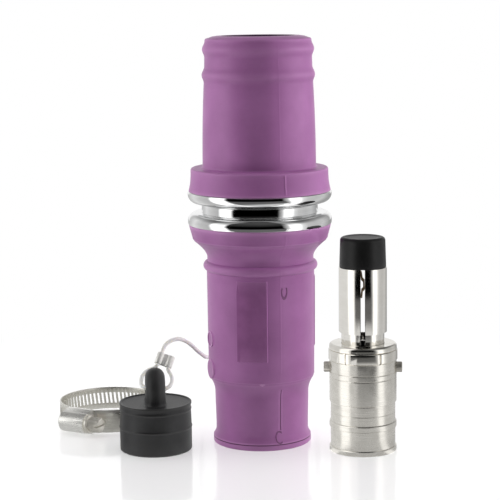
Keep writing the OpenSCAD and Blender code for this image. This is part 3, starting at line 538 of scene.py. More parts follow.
# the mould's parting line: a bevelled column of edges, lifted a little
def raiseSeam(piece, azimuth, low, high, least, tall, wide=0.3, finishIndex=None):
    openPiece(piece)

    def onLine(point, slack=0.2):
        radius, angle = around(point)
        return abs(angle - azimuth) < slack and radius > least and low < point.z / mm < high

    pick(piece, "edges", lambda e: all(onLine(v.co) for v in e.verts))
    bpy.ops.mesh.bevel(offset=wide * mm, segments=2, affect="EDGES")
    # a finish given here is the darker copy of the rubber: painted shade in the groove
    if finishIndex is not None:
        slack = math.degrees(wide / least) * 0.77
        pick(piece, "faces", lambda f: onLine(f.calc_center_median(), slack))
        piece.active_material_index = finishIndex
        bpy.ops.object.material_slot_assign()
    pick(piece, "verts", lambda v: onLine(v.co, 0.05))
    a = math.radians(azimuth)
    bpy.ops.transform.translate(value=(tall * mm * math.cos(a), tall * mm * math.sin(a), 0))
    bpy.ops.mesh.select_all(action="DESELECT")
    closePiece(piece)


def makeUpperCuff(shape):
    foot, top, collar, waist = shape["foot"], shape["top"], shape["collarWide"], shape["waist"]
    hoseZ = foot + shape["collarHigh"]
    edgeZ = top - shape["dome"]
    hoseFoot, hoseTop, edge = shape["hoseFoot"], shape["hoseTop"], shape["hoseEdge"]
    highBead, lowBead = shape["beads"]
    beadLong = shape["beadLong"]

    def wall(z):
        if z < lowBead:
            u = (z - hoseZ) / (lowBead - hoseZ)
            wide = hoseFoot - (hoseFoot - hoseTop) * u * u
        else:
            u = (z - lowBead) / (edgeZ - lowBead)
            wide = hoseTop - (hoseTop - edge) * u
        return wide + shape["beadHigh"] * (bulge(z, highBead, beadLong)
            + bulge(z, lowBead, beadLong))

    profile = [(spigotWide, foot)] + spigotRidges(foot, 1)
    profile += [(spigotWide, foot + spigotLong), (bore, foot + spigotLong), (bore, top - 3)]
    profile += bend(bore + 0.2, top - 0.2, 0.2, 180, 90, 3)
    profile += [(24.5, top), (27, top - 0.35), (edge - 1.6, edgeZ + 0.25)]
    profile += bend(edge - 1.1, edgeZ - 1, 1.1, 80, 15, 4)
    profile += [(wall(z), z) for z in levels(edgeZ - 2, lowBead - beadLong / 2, 48)
        + levels(lowBead - beadLong / 2 - 3, hoseZ + 1.8, 12)]
    profile += bend(wall(hoseZ) + 1.5, hoseZ + 1.5, 1.5, 185, 270, 5)
    profile += bend(collar - waist - 1.2, hoseZ - 1.2, 1.2, 90, 0, 6)
    profile += [(collar - waist * math.cos(math.radians(90 * u ** 1.6)),
        hoseZ - u * shape["collarHigh"]) for u in levels(0.2, 0.97, 10)]
    profile += [(collar - 0.15, foot + 0.12), (collar - 0.5, foot)]
    piece = turnPiece("upperCuff", profile)
    for finish in (cuffRubber, boreShadeRubber):
        piece.data.materials.append(finish)
    # the bore's inside takes the darker copy of the rubber: painted shade
    coverFaces(piece, 1, lambda f: around(f.calc_center_median())[0] < bore + 0.3)
    raiseSeam(piece, shape["seamAt"], foot + 0.5, hoseZ - 1, 30, shape["seamHigh"])
    raiseSeam(piece, shape["seamAt"], hoseZ + 2, top - 4, 30, shape["seamHigh"] * 0.3)
    return piece


finishPiece(makeUpperCuff(upperCuffShape), "kit", "cuff_rubber", None, "upper_cuff")
print("upper cuff made")

lowerCuffShape = {
    "top": 131.2, "shoulderWide": 41.9, "shoulderFoot": 40, "shoulderHigh": 8.8,
    "flareHigh": 10.4, "sleeve": 31.85, "sleeveFoot": 31.55, "sleeveFootZ": 40.4,
    "ringBead": 1.95, "ringBeadLong": 5.4, "beadGap": 2.7, "stepHigh": 10.4, "tail": 27.9,
    "tailLow": 27.5, "lip": 29.2, "lipHigh": 4, "lipFlare": 4.4, "lipLine": 3.4,
    "tailBore": 20.2, "tailBoreHigh": 52,
    "seamAt": -69.375, "seamHigh": 0.16, "tailSeamAt": -67.5, "tailSeamDeep": 0.3,
    "panels": [(-100, 53.5, 18, 48), (8, 58, 18, 42)],  # direction, foot, width, height
    "panelHigh": 0.4,
}
discShapes = {  # the ring has a line; the pad has none
    "cuffPad": {"azimuth": 198, "radius": 31.6, "z": 45.6, "wide": 11.6, "out": 0.4, "line": 0},
    "cuffMark": {"azimuth": 198, "radius": 31.7, "z": 63.6, "wide": 9.6, "out": 0.35, "line": 0.8},
}


# a plain moulded panel: the wall is cut along its edges, then inset and lifted
def raisePanel(piece, direction, foot, width, height, tall, finishIndex):
    a = math.radians(direction)
    out = Vector((math.cos(a), math.sin(a), 0))
    side = Vector((-math.sin(a), math.cos(a), 0))

    def inPatch(face, slack):
        c = middleOf(face)
        return (c.dot(out) > 10 and c.to_2d().length > 30 and abs(c.dot(side)) < width / 2 + slack
            and foot - slack < c.z < foot + height + slack)

    openPiece(piece)
    up, edge = Vector((0, 0, 1)), side * width * mm / 2
    for place, facing in ((up * foot * mm, up), (up * (foot + height) * mm, up), (edge, side),
            (-edge, side)):
        pick(piece, "faces", lambda f: inPatch(f, 6))
        bpy.ops.mesh.bisect(plane_co=place, plane_no=facing)
    pick(piece, "faces", lambda f: inPatch(f, 0))
    bpy.ops.mesh.inset(thickness=0.35 * mm, depth=tall * mm)
    piece.active_material_index = finishIndex
    bpy.ops.object.material_slot_assign()
    closePiece(piece)


def makeLowerCuff(shape):
    top, shoulder, shoulderFoot = shape["top"], shape["shoulderWide"], shape["shoulderFoot"]
    flareZ = top - shape["shoulderHigh"]
    neckZ = flareZ - shape["flareHigh"]
    half, beadHigh = shape["ringBeadLong"] / 2, shape["ringBead"]
    beadZ = neckZ - shape["beadGap"] - half
    beadRound = (half ** 2 + beadHigh ** 2) / (2 * beadHigh)
    reach = math.degrees(math.asin(half / beadRound))
    sleeve, sleeveFoot, stepZ = shape["sleeve"], shape["sleeveFoot"], shape["sleeveFootZ"]
    tail, tailLow, lipWide = shape["tail"], shape["tailLow"], shape["lip"]
    lipTop, lipLine = shape["lipHigh"] + shape["lipFlare"], shape["lipLine"]
    tailBore, tailBoreHigh = shape["tailBore"], shape["tailBoreHigh"]

    def flare(z):
        u = max(0, (z - neckZ) / shape["flareHigh"])
        return sleeve - 0.4 + (shoulderFoot - sleeve + 0.4) * u ** 1.6

    def step(z):
        u = (z - stepZ + shape["stepHigh"]) / shape["stepHigh"]
        return tail + (sleeveFoot - tail) * u * u

    def lip(z):
        u = (lipTop - z) / shape["lipFlare"]
        return tailLow + (lipWide - tailLow) * u * u

    profile = [(spigotWide, top), (shoulder - 0.6, top), (shoulder - 0.15, top - 0.15),
        (shoulder, top - 0.6)]
    profile += [(shoulder + (shoulderFoot - shoulder) * u,
        top - 0.6 - u * (shape["shoulderHigh"] - 1.6)) for u in (0.25, 0.5, 0.75, 1)]
    profile += bend(shoulderFoot - 1, flareZ + 0.9, 1, -5, -60, 5)
    profile += [(flare(z), z) for z in levels(flareZ - 0.7, neckZ, 14)]
    profile += [(sleeve - 0.4, neckZ - 1), (sleeve - 0.45, beadZ + half + 0.3)]
    profile += bend(sleeve + beadHigh - beadRound, beadZ, beadRound, reach, -reach, 16)
    profile += [(sleeve + (sleeveFoot - sleeve) * u,
        beadZ - half - 0.5 + (stepZ + 1.4 - beadZ + half + 0.5) * u) for u in levels(0, 1, 12)]
    profile += bend(sleeveFoot - 0.8, stepZ + 0.8, 0.8, 0, -50, 5)
    profile += [(step(z), z) for z in levels(stepZ - 0.6, stepZ - shape["stepHigh"], 14)]
    profile += [(tail + (tailLow - tail) * u, 28 + (12 - 28) * u) for u in (0, 0.33, 0.66, 1)]
    profile += [(lip(z), z) for z in levels(lipTop, shape["lipHigh"], 8)]
    profile += [(lipWide, lipLine + 0.3), (lipWide - 0.35, lipLine), (lipWide, lipLine - 0.3)]
    profile += [(lipWide, 1.2)] + bend(lipWide - 0.8, 0.8, 0.8, 0, -90, 4)
    profile += bend(tailBore + 0.8, 0.8, 0.8, 270, 180, 4)
    profile += [(tailBore, tailBoreHigh), (bore, tailBoreHigh + 2), (bore, top - spigotLong),
        (spigotWide, top - spigotLong)] + spigotRidges(top, -1)[::-1]
    piece = turnPiece("lowerCuff", profile)
    for finish in (cuffRubber, panelRubber, seamShadeRubber):
        piece.data.materials.append(finish)
    panelIndex, seamShadeIndex = 1, 2
    for panel in shape["panels"]:
        raisePanel(piece, *panel, shape["panelHigh"], panelIndex)
    # the tail's seam groove and the lip's crease take the darker copy of the rubber: painted shade
    # in the grooves
    raiseSeam(piece, shape["tailSeamAt"], 9, stepZ - 4, 26, -shape["tailSeamDeep"], 0.25,
        seamShadeIndex)
    coverFaces(piece, seamShadeIndex, lambda f: abs(middleOf(f).z - lipLine) < 0.3
        and around(f.calc_center_median())[0] > lipWide - 0.6)
    raiseSeam(piece, shape["seamAt"], stepZ + 2, top - 1, 30, shape["seamHigh"] * 0.4)
    return piece


finishPiece(makeLowerCuff(lowerCuffShape), "kit", "cuff_rubber", None, "lower_cuff")
print("lower cuff made")


# a round pad or ring that stands out of the sleeve's wall
def discOnWall(name, azimuth, radius, z, wide, out, line):
    restart()
    a = math.radians(azimuth)
    thick = 3  # mostly sunk in the wall
    middle = (radius + out - thick / 2) * mm
    bpy.ops.mesh.primitive_cylinder_add(vertices=64, radius=wide / 2 * mm, depth=thick * mm,
        location=(middle * math.cos(a), middle * math.sin(a), z * mm),
        rotation=(0, math.radians(90), a))
    piece = settle(name)
    facing = Vector((math.cos(a), math.sin(a), 0))
    openPiece(piece)
    pick(piece, "faces", lambda f: f.normal.dot(facing) > 0.9)
    if line:
        bpy.ops.mesh.inset(thickness=line * mm, depth=0)
        bpy.ops.mesh.inset(thickness=0.15 * mm, depth=-(out - 0.05) * mm)
    else:
        bpy.ops.mesh.inset(thickness=0.2 * mm, depth=0.1 * mm)
        bpy.ops.mesh.inset(thickness=0.8 * mm, depth=0.02 * mm)
    return closePiece(piece)


for name, shape in discShapes.items():
    finishPiece(discOnWall(name, **shape), "kit", "cuff_rubber", cuffRubber)

lineShapes = {
    "sleeveMark": {"azimuth": -65, "radius": 31.78, "z": 94.8, "wide": 3.4, "high": 7.6,
        "line": 0.9, "opening": (0, 0, 1), "tilt": 0},
    "tailMark": {"azimuth": -69, "radius": 28.2, "z": 7.6, "wide": 4.6, "high": 7,
        "line": 0.7, "opening": (0, 1, 0), "tilt": -12},
}


# a small moulded line bent to an oval, half sunk in the wall, with one side cut away
def bentLine(name, azimuth, radius, z, wide, high, line, opening, tilt):
    restart()
    bpy.ops.mesh.primitive_torus_add(major_segments=40, minor_segments=10,
        major_radius=wide / 2 * mm, minor_radius=line / 2 * mm,
        rotation=(0, math.radians(90), 0))
    piece = settle(name)
    openPiece(piece)
    selectAll()
    bpy.ops.transform.resize(value=(1, 1, high / wide), center_override=(0, 0, 0))
    side = Vector(opening)
    across = high if side.z else wide
    bpy.ops.mesh.bisect(plane_co=side * across * 0.3 * mm, plane_no=side, use_fill=True,
        clear_outer=True)
    closePiece(piece)
    piece.matrix_world = (Matrix.Rotation(math.radians(azimuth), 4, "Z")
        @ Matrix.Translation((radius * mm, 0, z * mm))
        @ Matrix.Rotation(math.radians(tilt), 4, "Y"))
    return settle()


for name, shape in lineShapes.items():
    # the marks take the darker copy of the cuff's rubber: painted shade
    finishPiece(bentLine(name, **shape), "kit", "cuff_rubber", seamShadeRubber)

earShape = {"wide": 8.4, "long": 7, "hole": 2.9, "web": 4.2}




# the eye behind the lower cuff that holds the tether's stop
def makeEar(shape):
    end = Vector(tether["route"][0])
    along = (end - Vector(tether["route"][1])).normalized()
    turn = Vector((0, 0, 1)).rotation_difference(along)
    radius, hole, long = shape["wide"] / 2, shape["hole"] / 2, shape["long"]
    profile = [(hole, -long + 0.3), (hole + 0.3, -long), (radius - 0.5, -long),
        (radius, -long + 0.5), (radius, -0.5), (radius - 0.5, 0), (hole + 0.3, 0), (hole, -0.3)]
    piece = turnPiece("tetherEar", profile, sides=64)
    # the web that joins it to the wall
    openPiece(piece)
    pick(piece, "faces", lambda f: f.normal.y < -0.55
        and 0.6 - long < middleOf(f).z < -0.6
        and middleOf(f).xy.length > radius - 0.4)
    bpy.ops.mesh.extrude_region_move(
        TRANSFORM_OT_translate={"value": (0, -shape["web"] * mm, 0)})
    closePiece(piece)
    piece.matrix_world = Matrix.Translation(end * mm) @ turn.to_matrix().to_4x4()
    return settle()


finishPiece(makeEar(earShape), "kit", "cuff_rubber", cuffRubber)
print("marks and ear made")


rimShape = {
    "wide": 42.4, "neck": 34.2, "round": 4.8, "cone": 0.15,
    "thread": 27, "seam": 143.2, "threadTop": 148.4,
}
flangeShapes = {  # spigot's end, cuff's face, groove, and the neck's foot where there is one
    "lowerFlange": {"node": "lower_flange", "end": 85.2, "face": 131.2, "groove": 138.4,
        "neckFoot": [139.9]},
    "upperFlange": {"node": "upper_flange", "end": 196.8, "face": 150.8, "groove": 144.2,
        "neckFoot": []},
}


# spigot, rim and neck; the rim is rounded on its groove side
def makeFlange(name, shape, ends):
    face, groove = ends["face"], ends["groove"]
    up = 1 if groove > face else -1
    wide, r, neck = shape["wide"], shape["round"], shape["neck"]
    profile = [(bore, ends["end"]), (spigotWide, ends["end"])]
    profile += spigotRidges(face, -up)[::-1] + [(spigotWide, face)]
    profile += [(wide - 0.6, face), (wide - 0.18, face + up * 0.3), (wide, face + up * 0.9)]
    profile += bend(wide - r, groove - up * r, r, 0, up * 90, 14)
    profile += [(neck + 0.8 + shape["cone"] * 3, groove), (neck + 0.4, groove + up * shape["cone"])]
    profile += [(neck, z) for z in ends["neckFoot"] + [shape["seam"]]]
    profile += [(shape["thread"], shape["seam"]), (shape["thread"], shape["threadTop"]),
        (bore, shape["threadTop"])]
    return turnPiece(name, profile, sides=256)


for name, ends in flangeShapes.items():
    finishPiece(makeFlange(name, rimShape, ends), "kit", "chrome", chromePlate, ends["node"])
print("flanges made")


centre = adapterPlace[:2]
adapterShape = {
    "body": 18.9, "bead": 19.65, "barrel": 19.6, "chamber": 16, "thread": 17.4,
    "plate": 19.7, "plateBore": 12.55, "plateTop": 63.8,
}


def turnedGroove(radius, z, deep):
    return [(radius, z - deep * 1.6), (radius - deep, z), (radius, z + deep * 1.6)]


body, bead, barrel, chamber, thread, plate, plateBore, plateTop = adapterShape.values()
adapterTail = turnPiece("adapterTail", steadied(
    [(chamber + 0.5, 0)] + bend(bead - 0.5, 0.5, 0.5, -90, 0, 4)
    + [(bead, 2.6), (bead - 0.25, 2.95), (body, 3.05), (body, 14.1), (bead - 0.2, 14.3)]
    + bend(bead - 0.5, 14.8, 0.5, -60, 0, 3) + bend(bead - 0.5, 17.2, 0.5, 0, 60, 3)
    + [(body, 17.85)] + turnedGroove(body, 23.2, 0.15)
    + [(body, 28.9), (body - 0.2, 29.3), (thread, 29.3), (thread, 38), (chamber, 38),
        (chamber, 25), (10.5, 25), (10.5, 22.5), (chamber, 22.5), (chamber, 0.5)]), centre)
finishPiece(adapterTail, "kit", "turned_steel", turnedSteel, "adapter_tail")
adapterBarrel = turnPiece("adapterBarrel", steadied(
    [(thread, 29.35), (barrel - 0.3, 29.35), (barrel, 29.65)]
    + turnedGroove(barrel, 44, 0.25) + turnedGroove(barrel, 47.2, 0.25)
    + [(barrel, 53.75), (barrel - 0.3, 54.05), (thread, 54.05), (thread, 45.6), (chamber, 45.6),
        (chamber, 39), (thread, 39)]), centre)
finishPiece(adapterBarrel, "kit", "turned_steel", turnedSteel, "adapter_barrel")
endPlate = turnPiece("endPlate", steadied(
    [(plateBore, 46.6), (thread, 46.6), (thread, 60.3), (plate - 0.4, 60.3), (plate, 60.7),
        (plate, 61.6)] + bend(plate - 1.8, plateTop - 1.8, 1.8, 8, 90, 10)
    + [(plateBore + 0.55, plateTop), (plateBore + 0.15, plateTop - 0.15),
        (plateBore, plateTop - 0.4)]), centre)
finishPiece(endPlate, "kit", "turned_steel", ringSteel, "end_plate")
copyNode("lock_ring", "lockRing", 0.12, "kit", "turned_steel", ringSteel)
copyNode("bayonet_pins", "bayonetPins", 0.15, "kit", "pin_steel", pinSteel)
print("adapter body made")

copyNode("stem_tube", "stemTube", 0.1, "stem", "stem_steel", stemSteel)

sleeveShape = {
    "wide": 13.95, "wall": 1.4, "foot": 70.4, "top": 108.4, "slot": 2.7, "turn": -3.9, "edge": 0.2,
}


# a tube in two halves, parted by a slot at the front and back, held by the cap
def makeStemSleeve(shape):
    piece = addRing("stemSleeve", centre, shape["wide"], shape["foot"], 192)
    growRings([(shape["wide"], shape["foot"]), (shape["wide"], shape["top"])], centre)
    a = math.radians(shape["turn"])
    across = Vector((math.cos(a), math.sin(a), 0))
    middle = Vector((*centre, 0)) * mm
    for side in (-1, 1):
        selectAll()
        bpy.ops.mesh.bisect(plane_co=middle + across * side * shape["slot"] / 2 * mm,
            plane_no=across)
    deleteFaces(piece, lambda f: abs((f.calc_center_median() - middle).dot(across)) / mm
        < shape["slot"] / 2)
    closePiece(piece)
    return thicken(piece, shape["wall"], -1, shape["edge"], 32)


finishPiece(makeStemSleeve(sleeveShape), "stem", "stem_steel", stemSteel, "stem_sleeve")

capShape = {"wide": 13.55, "topWide": 13.1, "foot": 108.4, "top": 125.9, "round": 2, "dish": 0.3}


def makeStemCap(shape):
    foot, top, wide, topWide = shape["foot"], shape["top"], shape["wide"], shape["topWide"]
    r = shape["round"]
    profile = [(12.5, top - 5.5), (12.5, foot + 1.6), (13.1, foot + 1.6), (13.1, foot),
        (wide - 0.3, foot), (wide - 0.08, foot + 0.12), (wide, foot + 0.5)]
    profile += [(wide + (topWide - wide) * u, foot + 0.5 + (top - r - foot - 0.5) * u)
        for u in levels(0.15, 1, 6)]
    profile += bend(topWide - r, top - r, r, 6, 90, 9)
    profile += [(topWide - 2.8, top - 0.06), (topWide - 3.4, top - shape["dish"]), (6, top - 0.34),
        (1.2, top - 0.34)]
    return turnPiece("stemCap", profile, centre, 160, False, 38)


finishPiece(makeStemCap(capShape), "stem", "black_rubber", capRubber, "stem_cap")
copyNode("stem_leaf", "stemLeaf", 0.12, "stem", "leaf_steel", leafSteel)
print("stem made")


stopperPlace = (-62.9, -19.2)
stopperShape = {
    "wide": 21.2, "high": 28.2, "round": 1.2, "ribHigh": 0.3, "ribLong": 2.2,
    "ribs": ((14.1, 0), (24.6, 0.3)),  # height, and how far the wall lies in
    "recess": 13.5, "recessHigh": 9, "lip": 0.5, "turn": 5.5,
    "lugThick": 11.6, "lugLong": 25, "lugHigh": 20.4, "hole": 6.8, "holeY": -1.5,
    "spread": ((3.4, 1.012), (2.2, 1.025), (1.2, 1.04), (0.5, 1.05)),  # height, share
}


def makeStopperBody(shape):
    wide, high, r = shape["wide"], shape["high"], shape["round"]
    recess, recessHigh, ribLong = shape["recess"], shape["recessHigh"], shape["ribLong"]
    profile = [(recess - 0.8, recessHigh), (recess, recessHigh - 0.8), (recess, 0.5),
        (recess + 0.5, 0)]
    profile += bend(wide - r, r, r, -90, 0, 7)
    for rib, inset in shape["ribs"]:
        profile += [(wide - inset + shape["ribHigh"] * bulge(z, rib, ribLong), z)
            for z in levels(rib - ribLong / 2, rib + ribLong / 2, 10)]
    profile += [(wide - 0.3, high - 1.6), (wide, high - 0.8)]
    profile += bend(wide - 0.3, high + shape["lip"] - 0.3, 0.3, 0, 90, 4)
    profile += [(wide - 0.9, high + shape["lip"]), (wide - 1.5, high + 0.05), (wide - 2.2, high),
        (10, high)]
    return turnPiece("stopperBody", profile, stopperPlace, 192, False, 38)


# an upright tab with a full round edge and a cross hole, flared into the stopper
def makeLug(shape):
    restart()
    half, high, thick = shape["lugLong"] / 2, shape["high"], shape["lugThick"]
    midZ = high + shape["lugHigh"] - half
    bpy.ops.mesh.primitive_circle_add(vertices=96, radius=half * mm, fill_type="NGON",
        location=(-thick / 2 * mm, 0, midZ * mm), rotation=(0, math.radians(90), 0))
    piece = settle("stopperLug")
    bpy.ops.object.mode_set(mode="EDIT")
    selectAll()
    bpy.ops.mesh.extrude_region_move(TRANSFORM_OT_translate={"value": (thick * mm, 0, 0)})
    # the lower half goes straight down into the stopper
    pick(piece, "verts", lambda v: v.co.z / mm < midZ - 0.1)
    bpy.ops.transform.translate(value=(0, 0, (high - midZ) * mm))
    pick(piece, "edges", lambda e: len({abs(f.normal.x) > 0.9 for f in e.link_faces}) == 2)
    bpy.ops.mesh.bevel(offset=thick * 0.47 * mm, segments=10, profile=0.5, affect="EDGES")
    # the foot spreads a little where it joins the stopper
    for level, spread in shape["spread"]:
        selectAll()
        bpy.ops.mesh.bisect(plane_co=(0, 0, (high + level) * mm), plane_no=(0, 0, 1))
        pick(piece, "verts", lambda v: v.co.z / mm < high + level - 0.02)
        bpy.ops.transform.resize(value=(spread, spread, 1), center_override=(0, 0, high * mm))
    closePiece(piece, 45)
    restart()
    bpy.ops.mesh.primitive_cylinder_add(vertices=64, radius=shape["hole"] / 2 * mm,
        depth=40 * mm, location=(0, shape["holeY"] * mm, midZ * mm),
        rotation=(0, math.radians(90), 0))
    drill = bpy.context.object
    addModifier(piece, "BOOLEAN", object=drill, operation="DIFFERENCE", solver="EXACT")
    bpy.data.objects.remove(drill)
    openPiece(piece)
    pick(piece, "edges", lambda e: len(e.link_faces) == 2 and e.calc_face_angle() > 0.6
        and (e.verts[0].co / mm - Vector((e.verts[0].co.x / mm, shape["holeY"], midZ))).length
        < shape["hole"] / 2 + 0.1)
    bpy.ops.mesh.bevel(offset=0.5 * mm, segments=3, affect="EDGES")
    closePiece(piece, 45)
    piece.matrix_world = (Matrix.Translation((stopperPlace[0] * mm, stopperPlace[1] * mm, 0))
        @ Matrix.Rotation(math.radians(shape["turn"]), 4, "Z"))
    return settle()


finishPiece(makeStopperBody(stopperShape), "kit", "black_rubber", blackRubber, "stopper")
finishPiece(makeLug(stopperShape), "kit", "black_rubber", blackRubber)
crimp = copyNode("tether_crimp", "tetherCrimp", 0.4, "kit", "crimp_metal", crimpMetal)
tetherStop = copyNode("tether_stop", "tetherStop", 0.4, "kit", "crimp_metal", crimpMetal)
print("stopper and crimp made")


clampShape = {
    "inner": 30.6, "wall": 0.8, "foot": 0.5, "wide": 14, "layerIn": 31.45,
    "facing": 240,  # direction of the housing
    "slots": 292, "slotLow": 4, "slotHigh": 11, "slant": 0.7,
    "slotted": (95, 322), "free": (-24, 19), "base": 12.2,
    "endWall": 0.75, "edge": 0.12,
}


# a ring of steel strip: rows of faces, the slots deleted, then given its wall
def makeBand(shape):
    place = clampPlace[:2]
    piece = addRing("clampBand", place, shape["inner"], shape["foot"], shape["slots"])
    spin = math.radians(shape["slant"])
    axis = (place[0] * mm, place[1] * mm, 0)
    bpy.ops.transform.rotate(value=spin, orient_axis="Z", center_override=axis)
    for step in (shape["slotLow"] - shape["foot"], shape["slotHigh"] - shape["slotLow"],
            shape["foot"] + shape["wide"] - shape["slotHigh"]):
        bpy.ops.mesh.extrude_edges_move(TRANSFORM_OT_translate={"value": (0, 0, step * mm)})
        if step > 5:
            bpy.ops.transform.rotate(value=-2 * spin, orient_axis="Z", center_override=axis)

    stepAngle = 360 / shape["slots"]

    def fromHousing(face):
        angle = around(face.calc_center_median(), place)[1] - shape["facing"]
        return (angle + 720) % 360

    def isSlot(face):
        angle = fromHousing(face)
        return (shape["slotLow"] < middleOf(face).z < shape["slotHigh"]
            and shape["slotted"][0] < angle < shape["slotted"][1]
            and int(angle / stepAngle) % 4 < 2)

    deleteFaces(piece, isSlot)
    deleteFaces(piece, lambda f: min(fromHousing(f), 360 - fromHousing(f)) < shape["base"])
    closePiece(piece)
    return thicken(piece, shape["wall"], 1, shape["edge"], 30)


# the band's outer layer, under the worm
def makeFreeEnd(shape):
    place = clampPlace[:2]
    inner, foot = shape["layerIn"], shape["foot"]
    piece = addRing("bandEnd", place, inner, foot, 360)
    growRings([(inner, foot), (inner, foot + shape["wide"])], place)

    def outside(face):
        angle = (around(face.calc_center_median(), place)[1] - shape["facing"] + 540) % 360 - 180
        return not shape["free"][0] < angle < shape["free"][1]

    deleteFaces(piece, outside)
    closePiece(piece)
    return thicken(piece, shape["endWall"], 1, shape["edge"], 30)


finishPiece(makeBand(clampShape), "kit", "clamp_steel", bandSteel, "clamp_band")
finishPiece(makeFreeEnd(clampShape), "kit", "clamp_steel", bandSteel)
copyNode("clamp_housing", "clampHousing", 0.2, "kit", "housing_steel", bandSteel)
copyNode("clamp_screw", "clampScrew", 0.15, "screw", "screw_steel", screwSteel)
print("hose clamp made")


for node, finish in (("union_seal", blackRubber), ("barrel_gasket", blackRubber),
        ("plate_gasket", blackRubber), ("foot_seal", blackRubber), ("stem_foot", turnedSteel),
        ("return_spring", stemSteel)):
    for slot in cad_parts[node].material_slots:
        slot.material = finish


studio = {
    "world": 0.45, "leftSoft": 13.5, "rightSoft": 19, "topSoft": 4,
    "sidePlace": (1.15, 0.05, 0.36), "sideTilt": 84, "sideSize": (0.7, 1.3),
    "topPlace": (0, 0.2, 1.5), "topSize": (1.4, 1),
    "floor": 4, "floorTone": 0.88, "floorRough": 0.1, "floorShine": 0.5, "floorLift": 0.12,
    "whiteFrom": (0.12, 0.36),  # distances over which the floor fades to white
    "surroundWide": 1.7, "roof": 0.07, "roofHigh": (0.25, 0.9), "backFrom": (0.75, 0.92),
    # what the metal sees round it: degrees from the front, minus to the left, and brightness
    "surround": [(-180, 0.5), (-150, 0.6), (-129, 0.85), (-107, 0.62), (-90, 0.54), (-84, 1.5),
        (-60, 1.5), (-54, 0), (35, 0), (39, 0.3), (44, 0.6), (49, 1.5), (66, 1.5), (72, 0.85),
        (82, 0.62), (101, 0.58), (120, 0.66), (135, 0.5), (150, 0.36), (165, 0.4), (180, 0.5)],
    "boxHigh": (0.4, 0.75), "overhead": 0.25,  # the boxes end at this height, as a share
    "frontLight": 0.75, "frontFade": (0.13, 0.22), "farLight": 0.14, "farFade": (0.6, 0.85),
    "besideLight": 0.8, "besideFade": (0.1, 0.17),
}
# glowing cards, seen only in reflections: across, near, far and high; the stripe's ends; the
# stripe's light and the rest's
cards = {
    "rightCard": {"place": (0.0338, -0.06, 0.05, 0.128), "stripe": (-0.053, -0.04),
        "light": (1.5, 0.8)},
    "leftCard": {"place": (-0.0369, -0.06, 0.04, 0.116), "stripe": (-0.053, -0.04),
        "light": (0.9, 0.75)},
    "lowCard": {"place": (0.0338, -0.092, -0.06, 0.05), "stripe": (-0.088, -0.062),
        "light": (0.75, 0.9)},
}


# brightness by direction, from degrees round the front
def addSurround(tree, place, directions):
    parts = addNode(tree, "ShaderNodeSeparateXYZ", {"Vector": place})
    angle = combine(tree, "ARCTAN2", parts.outputs["X"],
        combine(tree, "MULTIPLY", parts.outputs["Y"], -1))
    ramp = addNode(tree, "ShaderNodeValToRGB",
        {"Fac": addRange(tree, angle, 0, 1, -math.pi, math.pi)})
    stops = ramp.color_ramp.elements
    for index, (degrees, bright) in enumerate(directions):
        spot = (degrees + 180) / 360
        stop = stops[index] if index < 2 else stops.new(spot)
        stop.position = spot
        stop.color = (bright, bright, bright, 1)
    return ramp.outputs["Color"], parts


# one vector less another, and the length of one
def addOffset(tree, place, offset):
    shifted = addNode(tree, "ShaderNodeVectorMath", {0: place, 1: offset})
    shifted.operation = "SUBTRACT"
    return shifted.outputs["Vector"]


def addLength(tree, vector):
    away = addNode(tree, "ShaderNodeVectorMath", {0: vector})
    away.operation = "LENGTH"
    return away.outputs["Value"]


def makeFloor(setup):
    restart()
    bpy.ops.mesh.primitive_plane_add(size=setup["floor"], location=(0, 0, 0))
    floor = bpy.context.object
    floor.name = "studioFloor"
    finish = bpy.data.materials.new("floorWhite")
    finish.use_nodes = True
    tree = finish.node_tree
    shader = tree.nodes["Principled BSDF"]
    path = tree.nodes.new("ShaderNodeLightPath")
    inView = path.outputs["Is Camera Ray"]
    place = objectPlace(tree)
    away = addLength(tree, place)
    share = addRange(tree, away, 0, 1, *setup["whiteFrom"])
    shader.inputs["Base Color"].default_value = (*[setup["floorTone"]] * 3, 1)
    shader.inputs["Roughness"].default_value = setup["floorRough"]
    shader.inputs["Specular IOR Level"].default_value = setup["floorShine"]
    shader.inputs["Emission Color"].default_value = (1, 1, 1, 1)
    tree.links.new(combine(tree, "MULTIPLY", setup["floorLift"], inView),
        shader.inputs["Emission Strength"])
    white = addNode(tree, "ShaderNodeEmission", {"Strength": 1})
    mix = addNode(tree, "ShaderNodeMixShader", {"Fac": combine(tree, "MULTIPLY", share, inView),
        1: shader.outputs["BSDF"], 2: white.outputs["Emission"]})
    # what the metal sees of it: a painted reflection, a glow in a pattern round the adapter, dark
    # in front and pale beside it, in place of the floor's own shading
    shifted = addOffset(tree, place, [c * mm for c in adapterPlace])
    reach = addLength(tree, shifted)
    front = combine(tree, "MAXIMUM",
        addRange(tree, reach, setup["frontLight"], 0, *setup["frontFade"]),
        addRange(tree, reach, setup["farLight"], 0, *setup["farFade"]))
    pattern = addSurround(tree, shifted, setup["surround"])[0]
    beside = addRange(tree, away, setup["besideLight"], 1, *setup["besideFade"])
    shine = addNode(tree, "ShaderNodeEmission", {"Strength":
        combine(tree, "MULTIPLY", combine(tree, "MAXIMUM", pattern, front), beside)})
    last = addNode(tree, "ShaderNodeMixShader", {"Fac": path.outputs["Is Glossy Ray"],
        1: mix.outputs["Shader"], 2: shine.outputs["Emission"]})
    tree.links.new(last.outputs["Shader"], tree.nodes["Material Output"].inputs["Surface"])
    floor.data.materials.append(finish)


# a piece of the studio that glows, and is seen only as a reflection
def glowInShine(piece, name, addStrength):
    finish = bpy.data.materials.new(name)
    finish.use_nodes = True
    tree = finish.node_tree
    tree.nodes.remove(tree.nodes["Principled BSDF"])
    glow = addNode(tree, "ShaderNodeEmission", {"Strength": addStrength(tree)})
    tree.links.new(glow.outputs["Emission"], tree.nodes["Material Output"].inputs["Surface"])
    piece.data.materials.append(finish)
    for ray in ("camera", "diffuse", "transmission", "volume_scatter", "shadow"):
        setattr(piece, "visible_" + ray, False)


